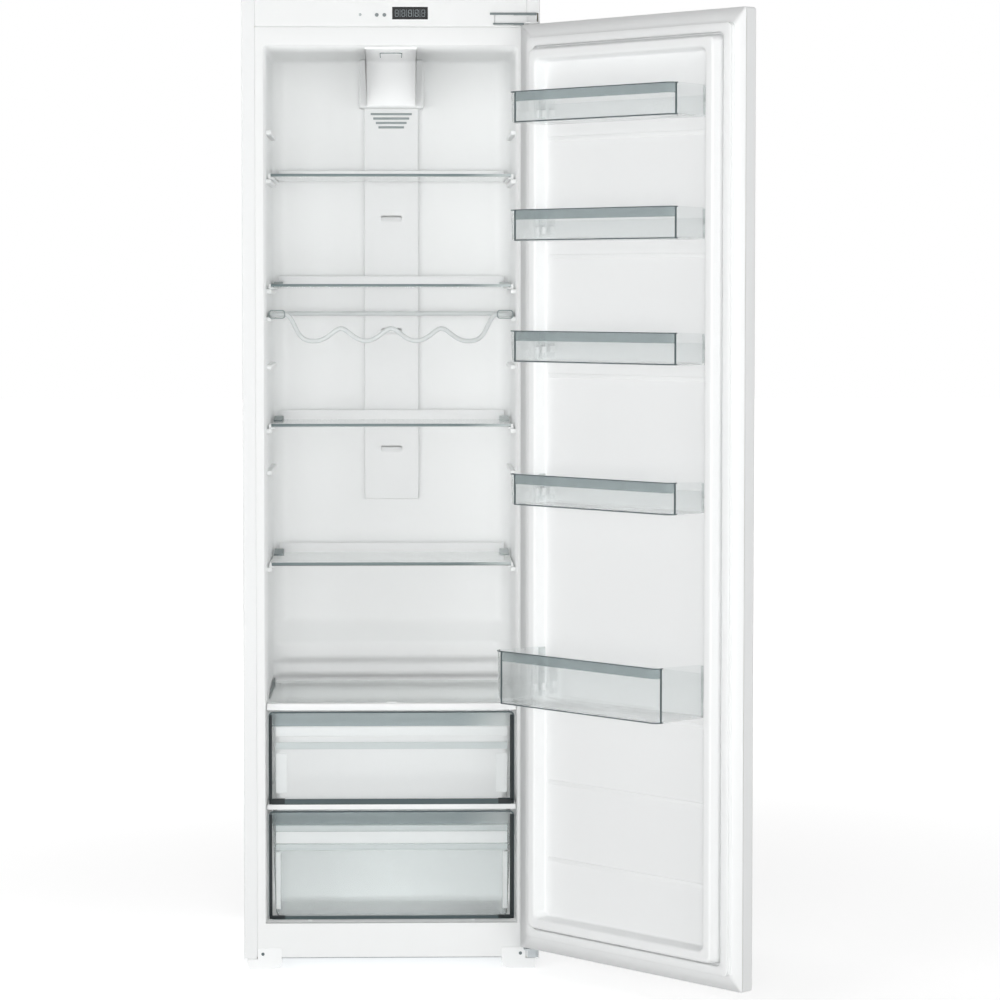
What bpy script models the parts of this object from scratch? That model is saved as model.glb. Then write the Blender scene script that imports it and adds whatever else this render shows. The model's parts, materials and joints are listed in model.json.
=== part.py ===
"""Integrated column refrigerator, with its door open, as an assembly of separate pieces.

The frame has +X to the right, +Y into the cabinet and +Z up, in metres. The origin is the
middle of the base plate's underside. Depths are measured from the cabinet's front plane.
"""

import math

import bmesh
import bpy
from mathutils import Euler, Matrix, Vector

# Walls, clearances and resolution
SHEET = 0.0008
LINER_WALL = 0.002
PLASTIC_WALL = 0.0022
SEAT_GAP = 0.0003
RUN_GAP = 0.0015
CUT_OVERRUN = 0.03
FOLD_RADIUS = 0.002
ARC_STEPS = 3
TURN_STEPS = 20
TUBE_RESOLUTION = 2

# Cabinet
BODY_WIDTH = 0.540
BODY_DEPTH = 0.475
BODY_HEIGHT = 1.751
SIDE_RETURN = 0.023
REAR_RETURN = 0.015
FASCIA_HEIGHT = 0.051
FASCIA_DEPTH = 0.028
FASCIA_WALL = 0.0025
HEAD_FRAME = 0.034
APRON_HEIGHT = 0.062

# Cavity, with the step over the compressor and the defrost gutter
SIDE_WALL = 0.0396
BACK_WALL = 0.073
BACK_CORNER_RADIUS = 0.035
CEILING_RADIUS = 0.004
LIP_HEIGHT = 0.003
LIP_DEPTH = 0.012
COMPARTMENT_DEPTH = 0.205
STEP_LEAN = 0.010
STEP_RADIUS = 0.012
STEP_FOAM = 0.035
STEP_CEILING = 0.043
GUTTER_DEPTH = 0.030
GUTTER_HEIGHT = 0.112
GUTTER_RISE = 0.005
GUTTER_SHARES = ((0.57, 0.07), (0.57, 0.27), (1.0, 0.38), (1.0, 0.63))

# Runner ribs moulded into the cavity's sides
RIB_REACH = 0.009
RIB_HEIGHT = 0.008
RIB_FRONT = 0.112
RIB_BACK_GAP = 0.045
RIB_NOSE = 0.004
FLOOR_RIB_INSET = 0.0804
FLOOR_RIB_WIDTH = 0.008

# Shelves, wine rack, crisper cover and drawers: heights are shares of the cavity's height
SHELF_SHARES = (0.8569, 0.7303, 0.5691, 0.4085)
SPARE_RIB_SHARES = (0.9080, 0.6380, 0.5160)
RACK_SHARE = 0.6964
COVER_SHARE = 0.2513
SHELF_FRONT = 0.105
SHELF_BACK_GAP = 0.022
SHELF_SIDE_GAP = 0.0044
SHELF_GLASS = 0.004
SHELF_CORNER_RADIUS = 0.008
FRAME_RAIL = 0.010
FRAME_UNDER = 0.003
FRAME_BAR = 0.004
FRAME_LIP = 0.0015
FRAME_UPSTAND = 0.0177
FRAME_CAP_WIDTH = 0.012
FRAME_CAP_DEPTH = 0.0025
SHELF_TRAVEL = 0.25
RACK_WIRE = 0.004
RACK_TROUGHS = 4
RACK_TROUGH_DROP = 0.049
RACK_PEAK_DROP = 0.024
RACK_SHOULDER_INSET = 0.0404
RACK_BACK_GAP = 0.052
RACK_CORNER = 0.020
RACK_POINTS = 34
COVER_FRONT = 0.036
COVER_BACK_GAP = 0.005
COVER_BAR_DEPTH = 0.016
COVER_BAR_HEIGHT = 0.0125
COVER_RAIL_WIDTH = 0.0145
COVER_RAIL_HEIGHT = 0.0077
COVER_RAIL_BACK_GAP = 0.040
SLIDER_SLOT_WIDTH = 0.052
SLIDER_WIDTH = 0.018
SLIDER_SLOT_DEPTH = 0.0025
SLIDER_SLOT_SPAN = 0.008
SLIDER_HEIGHT = 0.0045
DRAWER_FRONT = 0.036
DRAWER_FRAME_DEPTH = 0.004
DRAWER_FRAME_GAP = 0.0044
DRAWER_SIDE_GAP = 0.0114
DRAWER_DRAFT = 0.006
DRAWER_RADIUS = 0.016
DRAWER_BAND = 0.024
DRAWER_EDGE = 0.004
DRAWER_TOP_GAP = 0.003
UPPER_DRAWER_BACK_GAP = 0.030
LOWER_DRAWER_BACK_GAP = 0.008
DIVIDER_RISE = 0.0201
DIVIDER_HEIGHT = 0.009
DIVIDER_PLATE = 0.003
DIVIDER_FRONT = 0.038
DIVIDER_BACK_GAP = 0.030
DIVIDER_RIM = 0.012

# Air duct, lamp cover and fan
DUCT_WIDTH = 0.105
DUCT_DEPTH = 0.014
DUCT_FOOT_SHARE = 0.4720
HOUSING_WIDTH = 0.124
HOUSING_HEIGHT = 0.0927
HOUSING_DEPTH = 0.046
HOUSING_RADIUS = 0.004
SLIT_COUNT = 4
SLIT_HEIGHT = 0.0045
SLIT_PITCH = 0.0085
SLIT_FIRST_DROP = 0.010
SLIT_FIRST_WIDTH = 0.080
SLIT_NARROWING = 0.010
VENT_SHARES = (0.8105, 0.6750, 0.5330)
VENT_WIDTH = 0.041
VENT_HEIGHT = 0.012
LAMP_WIDTH = 0.095
LAMP_HEIGHT = 0.088
LAMP_DEPTH = 0.0075
LAMP_WALL = 0.0018
LAMP_RADIUS = 0.004
FAN_RADIUS = 0.036
FAN_HUB_RADIUS = 0.014
FAN_HUB_LENGTH = 0.015
FAN_BLADES = 7
FAN_BLADE_CHORD = 0.017
FAN_BLADE_THICKNESS = 0.0012
FAN_BLADE_ROOT_PITCH = math.radians(48)
FAN_BLADE_TIP_PITCH = math.radians(28)
MOTOR_RADIUS = 0.018
MOTOR_LENGTH = 0.009
MOTOR_SHAFT_RADIUS = 0.0025
MOTOR_SHAFT_LENGTH = 0.010

# Controls in the fascia
DISPLAY_LEFT = 0.003
DISPLAY_WIDTH = 0.064
DISPLAY_HEIGHT = 0.022
DISPLAY_DROP = 0.0154
DISPLAY_THICKNESS = 0.009
BUTTON_PLACES = {"button_mode": -0.0251, "button_set": -0.0114}
BUTTON_RADIUS = 0.0032
BUTTON_FLANGE = 0.0012
BUTTON_STEM = 0.006
BUTTON_PROUD = 0.0008
BUTTON_DROP = 0.0296
BOARD_WIDTH = 0.150
BOARD_HEIGHT = 0.034
BOARD_THICKNESS = 0.0016

# Hinges
HINGE_INSET = 0.014
HINGE_SETBACK = 0.012
PIN_RADIUS = 0.005
PIN_LENGTH = 0.016
COLLAR_RADIUS = 0.007
BRACKET_SHEET = 0.003
BRACKET_TONGUE_WIDTH = 0.030
BRACKET_NOSE = 0.010
TOP_BRACKET_WIDTH = 0.0765
TOP_BRACKET_HEIGHT = 0.018
TOP_BRACKET_DROP = 0.026
TOP_BRACKET_RECESS = 0.003
LOW_BRACKET_WIDTH = 0.0185
LOW_BRACKET_FOOT = 0.001
LOW_WEB_THICKNESS = 0.003

# Door
DOOR_THICKNESS = 0.028
DOOR_SEAL_GAP = 0.012
DOOR_GROUND_GAP = 0.0258
DOOR_TOP_OVERLAP = 0.0014
DOOR_EDGE_RADIUS = 0.004
DOOR_OPEN_ANGLE = math.radians(132.3)
RIDGE_INSET = 0.044
RIDGE_HEIGHT = 0.030
RIDGE_DRAFT = 0.004
RIDGE_WIDTH = 0.0175
RIDGE_RADIUS = 0.012
PANEL_LEVEL = 0.0045
SEAL_INSET = 0.0245
SEAL_WIDTH = 0.016
SEAL_FOLD = 0.0022
SEAL_RADIUS = 0.010
SEAL_LEVEL_SHARES = (0.0, 0.22, 0.42, 0.68, 1.0)
SEAL_FOLD_SHARES = (0.0, 0.0, 1.0, 0.0, 0.35)

# Door balconies: bottoms are shares of the door's height
BALCONY_SHARES = (0.8911, 0.7670, 0.6396, 0.4883, 0.2785)
BALCONY_HEIGHTS = (0.0555, 0.0555, 0.0555, 0.0555, 0.0945)
BALCONY_DEPTHS = (0.105, 0.105, 0.105, 0.105, 0.138)
BALCONY_SIDE_GAP = 0.004
BALCONY_BACK = 0.008
BALCONY_DRAFT = 0.002
BALCONY_RADIUS = 0.014
BALCONY_BACK_RADIUS = 0.005
BALCONY_BACK_DROP = 0.022
BAND_HEIGHT = 0.018
BAND_THICKNESS = 0.0012
BAND_RETURN = 0.060
STUD_WIDTH = 0.008
STUD_HEIGHT = 0.012
STUD_RISE = 0.014
STUD_LEVEL = 0.012
STUD_REACH = 0.009
SLOT_SIDE_GAP = 0.0006

# Cooling circuit
EVAPORATOR_TUBE = 0.004
EVAPORATOR_RUNS = 7
EVAPORATOR_PITCH = 0.060
EVAPORATOR_INSET = 0.0504
EVAPORATOR_SHARE = 0.3730
POCKET_MARGIN = 0.012
CONDENSER_STANDOFF = 0.024
CONDENSER_SIDE = 0.080
CONDENSER_HEIGHT = 1.000
CONDENSER_FOOT = 0.330
CONDENSER_TUBE = 0.0025
CONDENSER_RUNS = 9
CONDENSER_COIL_INSET = 0.070
CONDENSER_MARGIN = 0.050
CONDENSER_SLOT_HEIGHT = 0.012
CONDENSER_SLOT_WIDTH = 0.250
BEND_STEPS = 4
COMPRESSOR_X = 0.060
COMPRESSOR_BACK = 0.097
COMPRESSOR_RADIUS = 0.080
COMPRESSOR_HEIGHT = 0.160
COMPRESSOR_SEAM = 0.004
COMPRESSOR_DOME_SHARES = ((0.0, 1.0), (0.45, 0.985), (0.78, 0.90), (0.97, 0.68))
COMPRESSOR_BASE_SHARES = ((0.97, 0.14), (0.80, 0.03), (0.0, 0.0))
RAIL_RISE = 0.020
RAIL_SHEET = 0.0015
RAIL_WIDTH = 0.240
RAIL_FOOT = 0.025
RAIL_DEPTH = 0.130
TERMINAL_WIDTH = 0.032
TERMINAL_DEPTH = 0.055
TERMINAL_HEIGHT = 0.060
TERMINAL_RADIUS = 0.004
GLAND_RADIUS = 0.006
GLAND_LENGTH = 0.014
TRAY_WIDTH = 0.150
TRAY_DEPTH = 0.130
TRAY_HEIGHT = 0.022
TRAY_HEADROOM = 0.0109
TRAY_DRAFT = 0.006
TRAY_RADIUS = 0.018

# Base plate and feet
BASE_PRESS = 0.0004
BASE_FIELD_SIDE = 0.120
BASE_FIELD_FRONT = 0.080
BASE_FIELD_BACK_GAP = 0.008
BASE_FIELD_RADIUS = 0.020
BASE_VENT_COUNT = 5
BASE_VENT_LENGTH = 0.090
BASE_VENT_WIDTH = 0.008
BASE_VENT_PITCH = 0.018
BASE_VENT_STEP = 0.006
BASE_VENT_LEFT = -0.190
FOOT_HEIGHT = 0.019
FOOT_WIDTH = 0.0625
FOOT_EDGE = 0.006
FOOT_LENGTH = 0.060
FOOT_FRONT = 0.0025
FOOT_TAB_RISE = 0.020
FOOT_TAB_WIDTH = 0.044
FOOT_OUTER_RADIUS = 0.005
FOOT_INNER_RADIUS = 0.014
FOOT_SCREW_INSET = 0.034
FOOT_SCREW_HEIGHT = 0.009
FOOT_SCREW_RADIUS = 0.003
REAR_FOOT_RADIUS = 0.014
REAR_FOOT_SIDE = 0.050
REAR_FOOT_BACK = 0.035
REAR_FOOT_SHARES = ((0.55, 1.0), (0.62, 0.45), (1.0, 0.35), (1.0, 0.06), (0.92, 0.0))

# Places that follow from the sizes
FRONT = -BODY_DEPTH / 2
HALF_WIDTH = BODY_WIDTH / 2
INSIDE_HALF = HALF_WIDTH - SHEET - SEAT_GAP
FRAME_HALF = HALF_WIDTH - SIDE_RETURN - SEAT_GAP
BASE_PLATE = SHEET + BASE_PRESS
CAVITY_HALF = HALF_WIDTH - SIDE_WALL
CAVITY_DEPTH = BODY_DEPTH - BACK_WALL
CAVITY_FLOOR = APRON_HEIGHT
FASCIA_BOTTOM = BODY_HEIGHT - FASCIA_HEIGHT
CAVITY_TOP = FASCIA_BOTTOM - HEAD_FRAME
CAVITY_HEIGHT = CAVITY_TOP - CAVITY_FLOOR
COMPARTMENT_FRONT = BODY_DEPTH - COMPARTMENT_DEPTH
STEP_FACE_DEPTH = COMPARTMENT_FRONT - STEP_FOAM
COMPRESSOR_FOOT = BASE_PLATE + RAIL_RISE + 2 * SEAT_GAP
COMPRESSOR_TOP = COMPRESSOR_FOOT + COMPRESSOR_HEIGHT
COMPRESSOR_MIDDLE = BODY_DEPTH - COMPRESSOR_BACK
COMPARTMENT_TOP = COMPRESSOR_TOP + SEAT_GAP + TRAY_HEIGHT + TRAY_HEADROOM
STEP_TOP = COMPARTMENT_TOP + STEP_CEILING
RIB_LENGTH = CAVITY_DEPTH - RIB_BACK_GAP - RIB_FRONT
FLOOR_RIB_X = CAVITY_HALF - FLOOR_RIB_INSET
COVER_TOP = CAVITY_FLOOR + COVER_SHARE * CAVITY_HEIGHT
COVER_SEAT = COVER_TOP - SHELF_GLASS - SEAT_GAP
DIVIDER_TOP = STEP_TOP + DIVIDER_RISE
DIVIDER_BACK = CAVITY_DEPTH - DIVIDER_BACK_GAP
RACK_HEIGHT = CAVITY_FLOOR + RACK_SHARE * CAVITY_HEIGHT
REAR_SKIN_DEPTH = BODY_DEPTH - SHEET - SEAT_GAP
FOAM_BACK = REAR_SKIN_DEPTH - SHEET - SEAT_GAP
FOAM_TOP = BODY_HEIGHT - SHEET - SEAT_GAP
LINER_BACK = CAVITY_DEPTH + LINER_WALL + SEAT_GAP
SHELF_HALF = CAVITY_HALF - SHELF_SIDE_GAP
SHELF_BACK = CAVITY_DEPTH - SHELF_BACK_GAP
RACK_BACK = CAVITY_DEPTH - RACK_BACK_GAP
RACK_SHOULDER = CAVITY_HALF - RACK_SHOULDER_INSET
RACK_PITCH = 2 * RACK_SHOULDER / RACK_TROUGHS
COVER_HALF = CAVITY_HALF - RUN_GAP
COVER_BACK = CAVITY_DEPTH - COVER_BACK_GAP
COVER_RAIL_BACK = CAVITY_DEPTH - COVER_RAIL_BACK_GAP
DRAWER_FRAME_HALF = CAVITY_HALF - DRAWER_FRAME_GAP
DRAWER_HALF = CAVITY_HALF - DRAWER_SIDE_GAP
UPPER_DRAWER_BACK = CAVITY_DEPTH - UPPER_DRAWER_BACK_GAP
EVAPORATOR_HALF = CAVITY_HALF - EVAPORATOR_INSET
CONDENSER_WIDTH = BODY_WIDTH - 2 * CONDENSER_SIDE
CONDENSER_HALF = CONDENSER_WIDTH / 2 - CONDENSER_COIL_INSET
FOOT_SCREW_X = HALF_WIDTH - FOOT_SCREW_INSET
REAR_FOOT_X = HALF_WIDTH - REAR_FOOT_SIDE
REAR_FOOT_DEPTH = BODY_DEPTH - REAR_FOOT_BACK
DOOR_BOTTOM = DOOR_GROUND_GAP
DOOR_TOP = FASCIA_BOTTOM + DOOR_TOP_OVERLAP
DOOR_HEIGHT = DOOR_TOP - DOOR_BOTTOM
DOOR_INNER = -DOOR_SEAL_GAP
DOOR_OUTER = -DOOR_SEAL_GAP - DOOR_THICKNESS
HINGE_X = HALF_WIDTH - HINGE_INSET
HINGE_DEPTH = DOOR_OUTER + HINGE_SETBACK
DUCT_BACK = CAVITY_DEPTH - SEAT_GAP
HOUSING_FOOT = CAVITY_TOP - HOUSING_HEIGHT
FAN_HEIGHT = CAVITY_TOP - HOUSING_HEIGHT / 2


def deep(depth):
    """The Y of a depth measured back from the cabinet's front plane."""
    return FRONT + depth


def clear_scene():
    for item in list(bpy.data.objects):
        bpy.data.objects.remove(item, do_unlink=True)


def new_collection(name):
    collection = bpy.data.collections.new(name)
    bpy.context.scene.collection.children.link(collection)
    return collection


def finish(name, colour, roughness, metallic=0.0, alpha=1.0):
    """A Principled material with the colour, roughness and metallic value of one surface."""
    material = bpy.data.materials.new(name)
    material.use_nodes = True
    shader = material.node_tree.nodes["Principled BSDF"]
    shader.inputs["Base Color"].default_value = (*colour, 1.0)
    shader.inputs["Roughness"].default_value = roughness
    shader.inputs["Metallic"].default_value = metallic
    shader.inputs["Alpha"].default_value = alpha
    return material


clear_scene()
PARTS = new_collection("column_refrigerator")
TOOLS = new_collection("cutters")
TOOLS.hide_render = True

# Finishes
WHITE_STEEL = finish("white_steel", (0.86, 0.87, 0.87), 0.35)
ZINC_STEEL = finish("zinc_steel", (0.62, 0.64, 0.65), 0.40, 0.9)
BLACK_STEEL = finish("black_steel", (0.03, 0.03, 0.03), 0.45, 0.3)
WHITE_PLASTIC = finish("white_plastic", (0.88, 0.89, 0.89), 0.40)
LAMP_PLASTIC = finish("lamp_plastic", (0.90, 0.92, 0.92), 0.30, 0.0, 0.8)
CLEAR_PLASTIC = finish("clear_plastic", (0.85, 0.90, 0.91), 0.08, 0.0, 0.35)
SMOKED_PLASTIC = finish("smoked_plastic", (0.30, 0.33, 0.34), 0.15, 0.0, 0.7)
DARK_TRIM = finish("dark_trim", (0.22, 0.25, 0.26), 0.25)
CLEAR_GLASS = finish("clear_glass", (0.80, 0.90, 0.88), 0.03, 0.0, 0.35)
DISPLAY_GLASS = finish("display_glass", (0.01, 0.012, 0.014), 0.10)
SEAL_RUBBER = finish("seal_rubber", (0.84, 0.85, 0.85), 0.60)
FOAM = finish("foam", (0.85, 0.80, 0.62), 0.90)
COPPER = finish("copper", (0.72, 0.40, 0.25), 0.30, 1.0)
BOARD_GREEN = finish("board_green", (0.05, 0.22, 0.12), 0.50)
WHITE_WIRE = finish("white_wire", (0.84, 0.86, 0.87), 0.25)


def turned_corner(points, x, y, radius, before, after):
    """Adds the arc that rounds one corner, between the directions to its neighbours."""
    half = before.angle(after) / 2
    reach = radius / math.tan(half)
    centre = Vector((x, y)) + (before + after).normalized() * radius / math.sin(half)
    start = Vector((x, y)) + before * reach - centre
    end = Vector((x, y)) + after * reach - centre
    sweep = math.atan2(start.cross(end), start.dot(end))
    for step in range(ARC_STEPS + 1):
        points.append(centre + Matrix.Rotation(sweep * step / ARC_STEPS, 2) @ start)


def rounded(corners, closed=True):
    """An outline through (x, y, radius) corners, each with its radius as an arc."""
    points = []
    count = len(corners)
    for index, (x, y, radius) in enumerate(corners):
        inner = closed or 0 < index < count - 1
        if radius <= 0 or not inner:
            points.append(Vector((x, y)))
            continue
        before = (Vector(corners[index - 1][:2]) - Vector((x, y))).normalized()
        after = (Vector(corners[(index + 1) % count][:2]) - Vector((x, y))).normalized()
        turned_corner(points, x, y, radius, before, after)
    return points


def grown(corners, distance, closed=True):
    """The (x, y, radius) corners of an anticlockwise outline, moved outwards by a distance."""
    moved = []
    count = len(corners)
    for index, (x, y, radius) in enumerate(corners):
        here = Vector((x, y))
        arrive = here - Vector(corners[index - 1][:2])
        leave = Vector(corners[(index + 1) % count][:2]) - here
        if not closed and index == 0:
            arrive = leave
        if not closed and index == count - 1:
            leave = arrive
        arrive = arrive.normalized()
        leave = leave.normalized()
        normals = Vector((arrive.y + leave.y, -arrive.x - leave.x))
        shift = normals * distance / (1 + arrive.dot(leave))
        bend = distance if arrive.cross(leave) > 0 else -distance
        moved.append((x + shift.x, y + shift.y, max(radius + bend, 0) if radius else 0))
    return moved


def rectangle(low_x, high_x, low_y, high_y, radius=0.0):
    """The four (x, y, radius) corners of a rectangle, anticlockwise."""
    return [
        (low_x, low_y, radius),
        (high_x, low_y, radius),
        (high_x, high_y, radius),
        (low_x, high_y, radius),
    ]


def facing_up(points, level):
    """Outline points laid flat at a height, for rings that climb along +Z."""
    return [Vector((point[0], point[1], level)) for point in points]


def facing_back(points, level):
    """Outline points as (height, x) stood up at a depth, for rings that run along +Y."""
    return [Vector((point[1], level, point[0])) for point in points]


def add_object(name, data, material, collection, place=(0, 0, 0), turn=(0, 0, 0)):
    item = bpy.data.objects.new(name, data)
    item.location = place
    item.rotation_euler = turn
    collection.objects.link(item)
    if material:
        data.materials.append(material)
    if collection is TOOLS:
        item.hide_render = True
        item.display_type = "WIRE"
    return item


def mesh_object(name, shape, material, collection, place=(0, 0, 0), turn=(0, 0, 0)):
    """An object from a bmesh, shaded smooth with its sharp edges kept."""
    mesh = bpy.data.meshes.new(name)
    shape.to_mesh(mesh)
    shape.free()
    mesh.shade_smooth()
    mesh.set_sharp_from_angle(angle=math.radians(30))
    return add_object(name, mesh, material, collection, place, turn)


def box(name, low, high, material=None, collection=None, radius=0.0):
    """A box between two corners, with its origin at its middle and its edges rounded."""
    size = Vector(high) - Vector(low)
    shape = bmesh.new()
    bmesh.ops.create_cube(shape, size=1, matrix=Matrix.Diagonal((*size, 1)))
    item = mesh_object(name, shape, material, collection or TOOLS, (Vector(low) + Vector(high)) / 2)
    if radius:
        soften(item, radius)
    return item


def rod(name, radius, length, material=None, collection=None, place=(0, 0, 0), turn=(0, 0, 0)):
    """A cylinder along its own Z, about its middle."""
    shape = bmesh.new()
    bmesh.ops.create_cone(
        shape,
        cap_ends=True,
        segments=TURN_STEPS,
        radius1=radius,
        radius2=radius,
        depth=length,
    )
    return mesh_object(name, shape, material, collection or TOOLS, place, turn)


def soften(item, radius, segments=2):
    """Rounds the sharp edges of a piece."""
    bevel = item.modifiers.new("rounded_edges", "BEVEL")
    bevel.width = radius
    bevel.segments = segments
    bevel.limit_method = "ANGLE"
    bevel.angle_limit = math.radians(40)
    return item


def thicken(item, wall):
    """Gives an open surface its wall, on the side that its normals point away from."""
    solidify = item.modifiers.new("wall", "SOLIDIFY")
    solidify.thickness = wall
    solidify.offset = -1
    solidify.use_even_offset = True
    return item


def combine(target, tool, operation):
    modifier = target.modifiers.new(operation.lower(), "BOOLEAN")
    modifier.operation = operation
    modifier.solver = "EXACT"
    modifier.object = tool
    return target


def cut(target, *tools):
    for tool in tools:
        combine(target, tool, "DIFFERENCE")
    return target


def join(target, *tools):
    for tool in tools:
        combine(target, tool, "UNION")
    return target


def meshed(source):
    """A curve object made a mesh object of the same name and place, with its caps welded."""
    bpy.context.view_layer.update()
    graph = bpy.context.evaluated_depsgraph_get()
    mesh = bpy.data.meshes.new_from_object(source.evaluated_get(graph))
    shape = bmesh.new()
    shape.from_mesh(mesh)
    bmesh.ops.remove_doubles(shape, verts=shape.verts, dist=SEAT_GAP / 10)
    bmesh.ops.recalc_face_normals(shape, faces=shape.faces)
    shape.to_mesh(mesh)
    shape.free()
    mesh.shade_smooth()
    mesh.set_sharp_from_angle(angle=math.radians(30))
    name = source.name
    matrix = source.matrix_world.copy()
    collection = source.users_collection[0]
    bpy.data.objects.remove(source)
    item = add_object(name, mesh, None, collection)
    item.matrix_world = matrix
    return item


def prism(name, outlines, thickness, place, turn=(0, 0, 0), material=None, collection=None):
    """A flat outline, with any holes as further outlines, given a thickness about its plane."""
    curve = bpy.data.curves.new(name, "CURVE")
    curve.dimensions = "2D"
    curve.fill_mode = "BOTH"
    curve.extrude = thickness / 2
    for outline in outlines:
        spline = curve.splines.new("POLY")
        spline.points.add(len(outline) - 1)
        for target, point in zip(spline.points, outline):
            target.co = (point[0], point[1], 0, 1)
        spline.use_cyclic_u = True
    source = add_object(name, curve, material, collection or TOOLS, place, turn)
    return meshed(source)


# Turns of a prism's plane, from flat to stood up
UNTURNED = Euler((0, 0, 0))
ALONG_X = Euler((math.pi / 2, 0, math.pi / 2))
ALONG_Y = Euler((math.pi / 2, 0, 0))


def loft(name, rings, material, collection=None, place=(0, 0, 0), cap_first=True, cap_last=True, ring=False):
    """A surface through rings of equal point counts. A ring loft also joins its last ring to its first."""
    shape = bmesh.new()
    rows = [[shape.verts.new(point) for point in points] for points in rings]
    pairs = list(zip(rows, rows[1:]))
    if ring:
        pairs.append((rows[-1], rows[0]))
    for lower, upper in pairs:
        for index in range(len(lower)):
            after = (index + 1) % len(lower)
            shape.faces.new((lower[index], lower[after], upper[after], upper[index]))
    if cap_first and not ring:
        shape.faces.new(list(reversed(rows[0])))
    if cap_last and not ring:
        shape.faces.new(rows[-1])
    return mesh_object(name, shape, material, collection or TOOLS, place)


def folded_sheet(name, corners, length, wall, place, turn, material, collection=None):
    """A bent sheet: an open path of (x, y, radius) corners drawn along its own Z.

    The wall grows to the left of the path.
    """
    path = rounded(corners, closed=False)
    shape = bmesh.new()
    low = [shape.verts.new((point.x, point.y, -length / 2)) for point in path]
    high = [shape.verts.new((point.x, point.y, length / 2)) for point in path]
    for index in range(len(path) - 1):
        shape.faces.new((low[index], low[index + 1], high[index + 1], high[index]))
    item = mesh_object(name, shape, material, collection or TOOLS, place, turn)
    return thicken(item, wall)


def tube(name, points, radius, material, collection, cyclic=False):
    """A wire or pipe of one radius through points, with filled caps."""
    curve = bpy.data.curves.new(name, "CURVE")
    curve.dimensions = "3D"
    curve.bevel_depth = radius
    curve.bevel_resolution = TUBE_RESOLUTION
    curve.use_fill_caps = not cyclic
    spline = curve.splines.new("POLY")
    spline.points.add(len(points) - 1)
    for target, point in zip(spline.points, points):
        target.co = (*point, 1)
    spline.use_cyclic_u = cyclic
    return meshed(add_object(name, curve, material, collection))


def turned(name, profile, material, collection, place, turn=(0, 0, 0)):
    """A turned solid from an (radius, height) profile that runs from its top to its bottom."""
    shape = bmesh.new()
    row = [shape.verts.new((radius, 0, height)) for radius, height in profile]
    for first, second in zip(row, row[1:]):
        shape.edges.new((first, second))
    item = mesh_object(name, shape, material, collection, place, turn)
    screw = item.modifiers.new("turned", "SCREW")
    screw.steps = TURN_STEPS
    screw.render_steps = TURN_STEPS
    screw.use_merge_vertices = True
    screw.merge_threshold = SEAT_GAP / 10
    screw.use_smooth_shade = True
    return item


def gather(name, pieces):
    """One tool object made of several, for a single cut or union."""
    bpy.context.view_layer.update()
    graph = bpy.context.evaluated_depsgraph_get()
    shape = bmesh.new()
    for piece in pieces:
        mesh = bpy.data.meshes.new_from_object(piece.evaluated_get(graph))
        mesh.transform(piece.matrix_world)
        shape.from_mesh(mesh)
        bpy.data.meshes.remove(mesh)
        bpy.data.objects.remove(piece)
    return mesh_object(name, shape, None, TOOLS)


def pivot(name, place):
    """An empty on a moving body's axis, which carries the body's pieces."""
    item = bpy.data.objects.new(name, None)
    item.location = place
    PARTS.objects.link(item)
    return item


def carry(parent, *pieces):
    """Hangs pieces and their cutters on an empty that isn't turned yet, where they already stand."""
    for piece in pieces:
        piece.parent = parent
        piece.location = piece.location - parent.location
        for modifier in piece.modifiers:
            if modifier.type == "BOOLEAN" and modifier.object.parent is not parent:
                carry(parent, modifier.object)


def cavity_section():
    """The cavity's side outline as (depth, height, radius): lip, step, gutter, back and ceiling."""
    lip = CAVITY_FLOOR + LIP_HEIGHT
    gutter_foot = COVER_TOP + GUTTER_RISE
    corners = [
        (-CUT_OVERRUN, lip, 0),
        (LIP_DEPTH, lip, 0),
        (LIP_DEPTH + LIP_HEIGHT, CAVITY_FLOOR, 0),
        (STEP_FACE_DEPTH, CAVITY_FLOOR, STEP_RADIUS),
        (STEP_FACE_DEPTH + STEP_LEAN, STEP_TOP, STEP_RADIUS),
        (CAVITY_DEPTH, STEP_TOP, 0),
        (CAVITY_DEPTH, gutter_foot, 0),
    ]
    for forward, up in GUTTER_SHARES:
        corners.append((CAVITY_DEPTH - forward * GUTTER_DEPTH, gutter_foot + up * GUTTER_HEIGHT, 0))
    corners += [
        (CAVITY_DEPTH, gutter_foot + GUTTER_HEIGHT, 0),
        (CAVITY_DEPTH, CAVITY_TOP, CEILING_RADIUS),
        (-CUT_OVERRUN, CAVITY_TOP, 0),
    ]
    return corners


def cavity_solid(name, growth, front):
    """The cavity as a solid, grown by a distance, from a front depth: side outline by plan outline."""
    section = [list(corner) for corner in grown(cavity_section(), growth)]
    for corner in section:
        corner[0] = max(corner[0], front)
    half = CAVITY_HALF + growth
    side = prism(name, [rounded(section)], 2 * (half + CUT_OVERRUN), (0, FRONT, 0), ALONG_X)
    corner_radius = BACK_CORNER_RADIUS + growth
    plan = [
        (-half, -2 * CUT_OVERRUN, 0),
        (half, -2 * CUT_OVERRUN, 0),
        (half, CAVITY_DEPTH + growth, corner_radius),
        (-half, CAVITY_DEPTH + growth, corner_radius),
    ]
    middle = BODY_HEIGHT / 2
    upright = prism(f"{name}_plan", [rounded(plan)], 2 * BODY_HEIGHT, (0, FRONT, middle))
    return combine(side, upright, "INTERSECT")


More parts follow.
